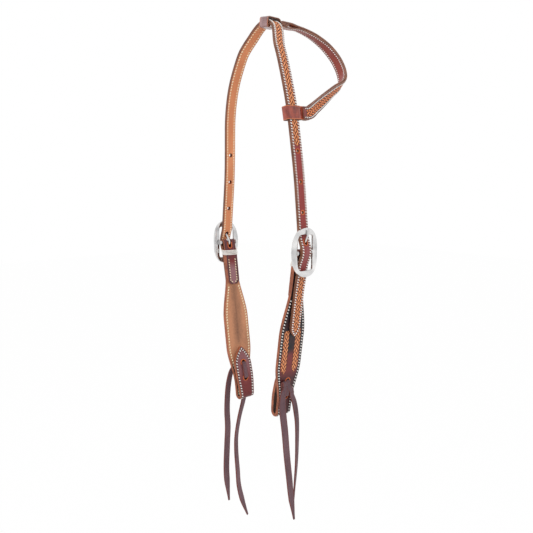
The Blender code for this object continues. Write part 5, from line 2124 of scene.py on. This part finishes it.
    def whip(self) -> None:
        """Winds the waxed thread round the cheek's top and the chape."""
        lay, radius = self.layout, self.thread / 2
        room = lay.gap + radius
        half = self.chape_width / 2 + room
        corners = []
        for quarter in range(4 * self.whip_turns + 1):
            up = -(self.whip_below_bar + quarter / 4 * self.whip_pitch)
            front = lay.cheek_out(up) + lay.grain / 2 + room
            back = lay.chape_out(up) - lay.grain / 2 - room
            out = front if quarter % 4 in (1, 2) else back
            forward = half if quarter % 4 in (0, 1) else -half
            corners.append(lay.bar + Vector((out, forward, up)))
        line = [(self.side.turned(p), FORWARD) for p in rounded(corners, self.thread, 8)]
        made = self.work.thread_winding.made(self.side.own("thread_whipping"), [line],
                                             Radius=radius + self.flattening)
        self.enter(made, "waxed_thread", "bar_tie")


@dataclass(frozen=True)
class WaterTie:
    """The flat lace of a water tie: through both holes, with two free tails."""

    layout: Layout
    side: Side
    width: float = 0.0095
    width_in_hole: float = 0.0078
    thickness: float = 0.0021
    bend: float = 0.0019
    leg_length: float = 0.0140
    leg_shift: float = 0.0086
    tip_length: float = 0.0330
    tip_width: float = 0.0024
    over_layers: float = 1.75
    corner: float = 0.0008
    tail_curl: float = 0.0004

    def routes(self) -> dict[str, tuple[tuple[float, float, float, float], ...]]:
        """The free tails' ways.

        Returns:
            For each tail its points: out, forward of the buckle, below the poll, and its face's turn.
        """
        if self.side is Side.RIGHT:
            return {
                "back": (
                    (0.0565, -0.0106, 0.4840, 0.25), (0.0535, -0.0085, 0.5070, 0.42),
                    (0.0512, -0.0020, 0.5430, 0.32), (0.0495, 0.0032, 0.5790, 0.25),
                    (0.0483, 0.0090, 0.6150, 0.20), (0.0476, 0.0128, 0.6400, 0.12),
                    (0.0470, 0.0200, 0.6820, 0.00)),
                "front": (
                    (0.0520, 0.0145, 0.5050, -0.15), (0.0495, 0.0215, 0.5330, -0.28),
                    (0.0475, 0.0240, 0.5650, -0.38), (0.0460, 0.0245, 0.5980, -0.50),
                    (0.0440, 0.0235, 0.6320, -0.62), (0.0425, 0.0230, 0.6560, -0.70)),
            }
        return {
            "back": (
                (0.0560, -0.0150, 0.4850, -0.05), (0.0535, -0.0215, 0.5050, -0.05),
                (0.0508, -0.0255, 0.5350, 0.00), (0.0494, -0.0255, 0.5620, 0.05),
                (0.0482, -0.0280, 0.5900, 0.08), (0.0470, -0.0305, 0.6310, 0.08),
                (0.0460, -0.0270, 0.6770, 0.00)),
            "front": (
                (0.0520, 0.0095, 0.5000, -0.10), (0.0500, 0.0050, 0.5250, -0.22),
                (0.0490, -0.0045, 0.5530, -0.35), (0.0481, -0.0108, 0.5800, -0.38),
                (0.0474, -0.0118, 0.6050, -0.36), (0.0467, -0.0100, 0.6350, -0.32),
                (0.0460, -0.0085, 0.6600, -0.30), (0.0454, -0.0025, 0.6860, -0.25),
                (0.0450, 0.0072, 0.7140, -0.20)),
        }

    def knot_line(self) -> list[Vector]:
        """The lace's middle through both holes.

        Returns:
            Its points on the right side, from the front leg to the back leg's end.
        """
        lay = self.layout
        upper, lower = lay.tie_heights
        face = lay.fold_face + lay.gap + self.thickness / 2
        over, top, lead = face + self.thickness * self.over_layers, upper + lay.tie_hole / 8, 2 * self.bend
        front = [lay.tie_point(face, upper - lead - self.leg_length * t, self.leg_shift * smooth(t))
                 for t in spaced(1, 0, 14)]
        back = [lay.tie_point(face, lower + lead + self.leg_length * t, -self.leg_shift * smooth(t))
                for t in spaced(0, 1, 14)]
        through = [front[-1], lay.tie_point(face, upper, 0),
                   lay.tie_point(lay.tab_shift(upper) - face, upper, 0),
                   lay.tie_point(lay.tab_shift(lower) - face, lower, 0),
                   lay.tie_point(face, lower, 0), back[0]]
        turned = [back[-1], lay.tie_point(face, top, -self.leg_shift),
                  lay.tie_point(over, top, -self.leg_shift),
                  lay.tie_point(over, top - self.width / 2, -self.leg_shift)]
        return [*front[:-1], *rounded(through, self.bend, 8), *back[1:-1], *rounded(turned, self.bend, 8)]

    def lace(self, name: str, points: list[Vector], turns: list[float], widths: list[float],
             curl: float) -> bpy.types.Object:
        """A flat lace with a dull face and worn edges.

        Args:
            name: The piece's name.
            points: Its middle, in place.
            turns: The turn of its face about the vertical at each point.
            widths: Its width at each point.
            curl: How far its edges curl over.

        Returns:
            The piece.
        """
        stations = []
        for point, ahead, turn, width in zip(points, tangents(points), turns, widths):
            across = squared(Vector((math.sin(turn), math.cos(turn), 0)), ahead)
            stations.append(Station(point, across, ahead.cross(across).normalized(), width))
        section = Section(self.thickness, corner=self.corner, groove=0.0, curl=curl)
        return strap_mesh(name, Strip(stations), section, 0.0,
                          Dress(Finish.LACE_FACE, Finish.LACE_EDGE, Finish.LACE_FACE))

    def build(self) -> None:
        own, line = self.side.own, self.knot_line()
        leads = {"front": (line[0], (line[0] - line[1]).normalized()),
                 "back": (line[-1], (line[-1] - line[-2]).normalized())}
        knot = self.lace(own("tied_lace"), [self.side.turned(p) for p in line], [0.0] * len(line),
                         [self.width_in_hole] * len(line), 0.0)
        entered(knot, own("cheek"), "latigo", own("tie_lace"))
        for place, (end, way) in leads.items():
            start, lead = [Vector((*(end + way * reach), 0)) for reach in (self.layout.gap, self.width / 2)]
            rows = [Vector((x, self.layout.bar.y + y, -drop, turn))
                    for x, y, drop, turn in self.routes()[place]]
            rows = [start, *smooth_route([lead, *rows], 8)]
            points = [Vector((row[0] * self.side.value, row[1], row[2])) for row in rows]
            along = lengths(points)
            widths = []
            for distance in along:
                left = (along[-1] - distance) / self.tip_length
                widening = smooth(distance / self.tip_length)
                root = self.width_in_hole + (self.width - self.width_in_hole) * widening
                widths.append(self.tip_width + (root - self.tip_width) * min(left, 1))
            tail = self.lace(own(f"free_lace_{place}"), points, [row[3] for row in rows], widths,
                             self.tail_curl)
            entered(tail, own("cheek"), "latigo", own(f"lace_tail_{place}"))


# The studio

@dataclass(frozen=True)
class Studio:
    """The camera where the photo was taken from, a pale floor, soft lamps and a white surround."""

    eye: tuple[float, float, float] = (0.5889, -0.4960, -0.2038)
    azimuth: float = 50.0
    down: float = 8.58
    focal_share: float = 560 / 533
    clip_start: float = 0.01
    floor_drop: float = 1.10
    floor_reach: float = 6.0
    floor_white: float = 0.985
    floor_colour: Colour = (0.9, 0.9, 0.9)
    world_light: float = 0.62
    aimed_at: tuple[float, float, float] = (0.03, 0, -0.33)
    lamps: tuple[tuple[str, tuple[float, float, float], float, float], ...] = (
        ("key", (1.1, -1.5, 0.9), 1.2, 16), ("rim", (-1.4, -0.6, 0.7), 1.0, 9),
        ("front", (0.9, 1.6, 0.4), 1.0, 7))

    def aim(self) -> None:
        """Places the camera."""
        azimuth, down = math.radians(self.azimuth), math.radians(self.down)
        level = math.cos(down)
        back = Vector((math.sin(azimuth) * level, -math.cos(azimuth) * level, math.sin(down)))
        right = Vector((math.cos(azimuth), math.sin(azimuth), 0))
        turn = Matrix((right, back.cross(right), back)).transposed().to_4x4()
        data = bpy.data.cameras.new("view")
        data.lens = data.sensor_width * self.focal_share
        data.clip_start = self.clip_start
        camera = placed("view", data)
        camera.matrix_world = Matrix.Translation(self.eye) @ turn
        bpy.context.scene.camera = camera

    def seen(self, tree: Tree) -> Value:
        """Tells the rays that should see plain white from those that carry light.

        Args:
            tree: The tree that the nodes go into.

        Returns:
            1 for the first, 0 for the others.
        """
        rays = tree.node("ShaderNodeLightPath").outputs
        straight = Value(tree, rays["Is Camera Ray"]).larger(Value(tree, rays["Is Glossy Ray"]))
        return straight.larger(Value(tree, rays["Is Transmission Ray"]))

    def surround(self) -> None:
        """Makes a world that is white to look at and lights the leather softly."""
        world = bpy.context.scene.world = bpy.data.worlds.new("surround")
        world.use_nodes = True
        world.node_tree.nodes.clear()
        tree = Tree(world.node_tree)
        strength = self.seen(tree) * (1 - self.world_light) + self.world_light
        glow = tree.node("ShaderNodeBackground", {"Color": (1, 1, 1, 1), "Strength": strength})
        tree.node("ShaderNodeOutputWorld", {"Surface": glow.outputs[0]})

    def lamp(self, name: str, place: tuple[float, float, float], size: float, power: float) -> None:
        """Adds a soft lamp that faces the headstall.

        Args:
            name: The lamp's name.
            place: Where it stands.
            size: Its width.
            power: Its power in watts.
        """
        data = bpy.data.lights.new(name, "AREA")
        data.shape, data.size, data.energy = "DISK", size, power
        lamp = placed(name, data)
        toward = Vector(self.aimed_at) - Vector(place)
        lamp.matrix_world = Matrix.Translation(place) @ toward.to_track_quat("-Z", "Y").to_matrix().to_4x4()
        lamp.visible_glossy = False

    def floor(self) -> None:
        """Lays the pale floor, which looks white and keeps a shadow."""
        mesh = bpy.data.meshes.new("pale_floor")
        reach, z = self.floor_reach, -self.floor_drop
        mesh.from_pydata([(-reach, -reach, z), (reach, -reach, z), (reach, reach, z), (-reach, reach, z)], [],
                         [(0, 1, 2, 3)])
        tree = Paint("pale_floor")
        matt = tree.node("ShaderNodeBsdfDiffuse", {"Color": (*self.floor_colour, 1)})
        glow = tree.node("ShaderNodeEmission", {"Color": (1, 1, 1, 1), "Strength": 1.0})
        mixed = tree.node("ShaderNodeMixShader", {0: self.seen(tree) * self.floor_white, 1: matt.outputs[0],
                                                       2: glow.outputs[0]})
        tree.node("ShaderNodeOutputMaterial", {"Surface": mixed.outputs[0]})
        mesh.materials.append(tree.material)
        placed("pale_floor", mesh)

    def build(self) -> None:
        """Sets the floor, the lamps, the world and the view transform."""
        bpy.context.scene.view_settings.view_transform = "Standard"
        self.surround()
        self.floor()
        for lamp in self.lamps:
            self.lamp(*lamp)


def main() -> None:
    """Builds the camera, the laces with their cords, the straps, the buckles and the rest of the studio."""
    logging.basicConfig(level=logging.INFO, format="%(name)s: %(message)s")
    layout, work, studio = Layout(), Workroom(), Studio()
    studio.aim()
    for side in Side:
        WaterTie(layout, side).build()
    crown = CrownStrap(layout, work)
    crown.build()
    EarPiece(layout, work).build()
    hole = crown.holes(Side.RIGHT)[0][0]
    for side in Side:
        CartBuckle(layout, side).build(hole)
        CheekPiece(layout, work, side).build()
    studio.build()


if __name__ == "__main__":
    main()
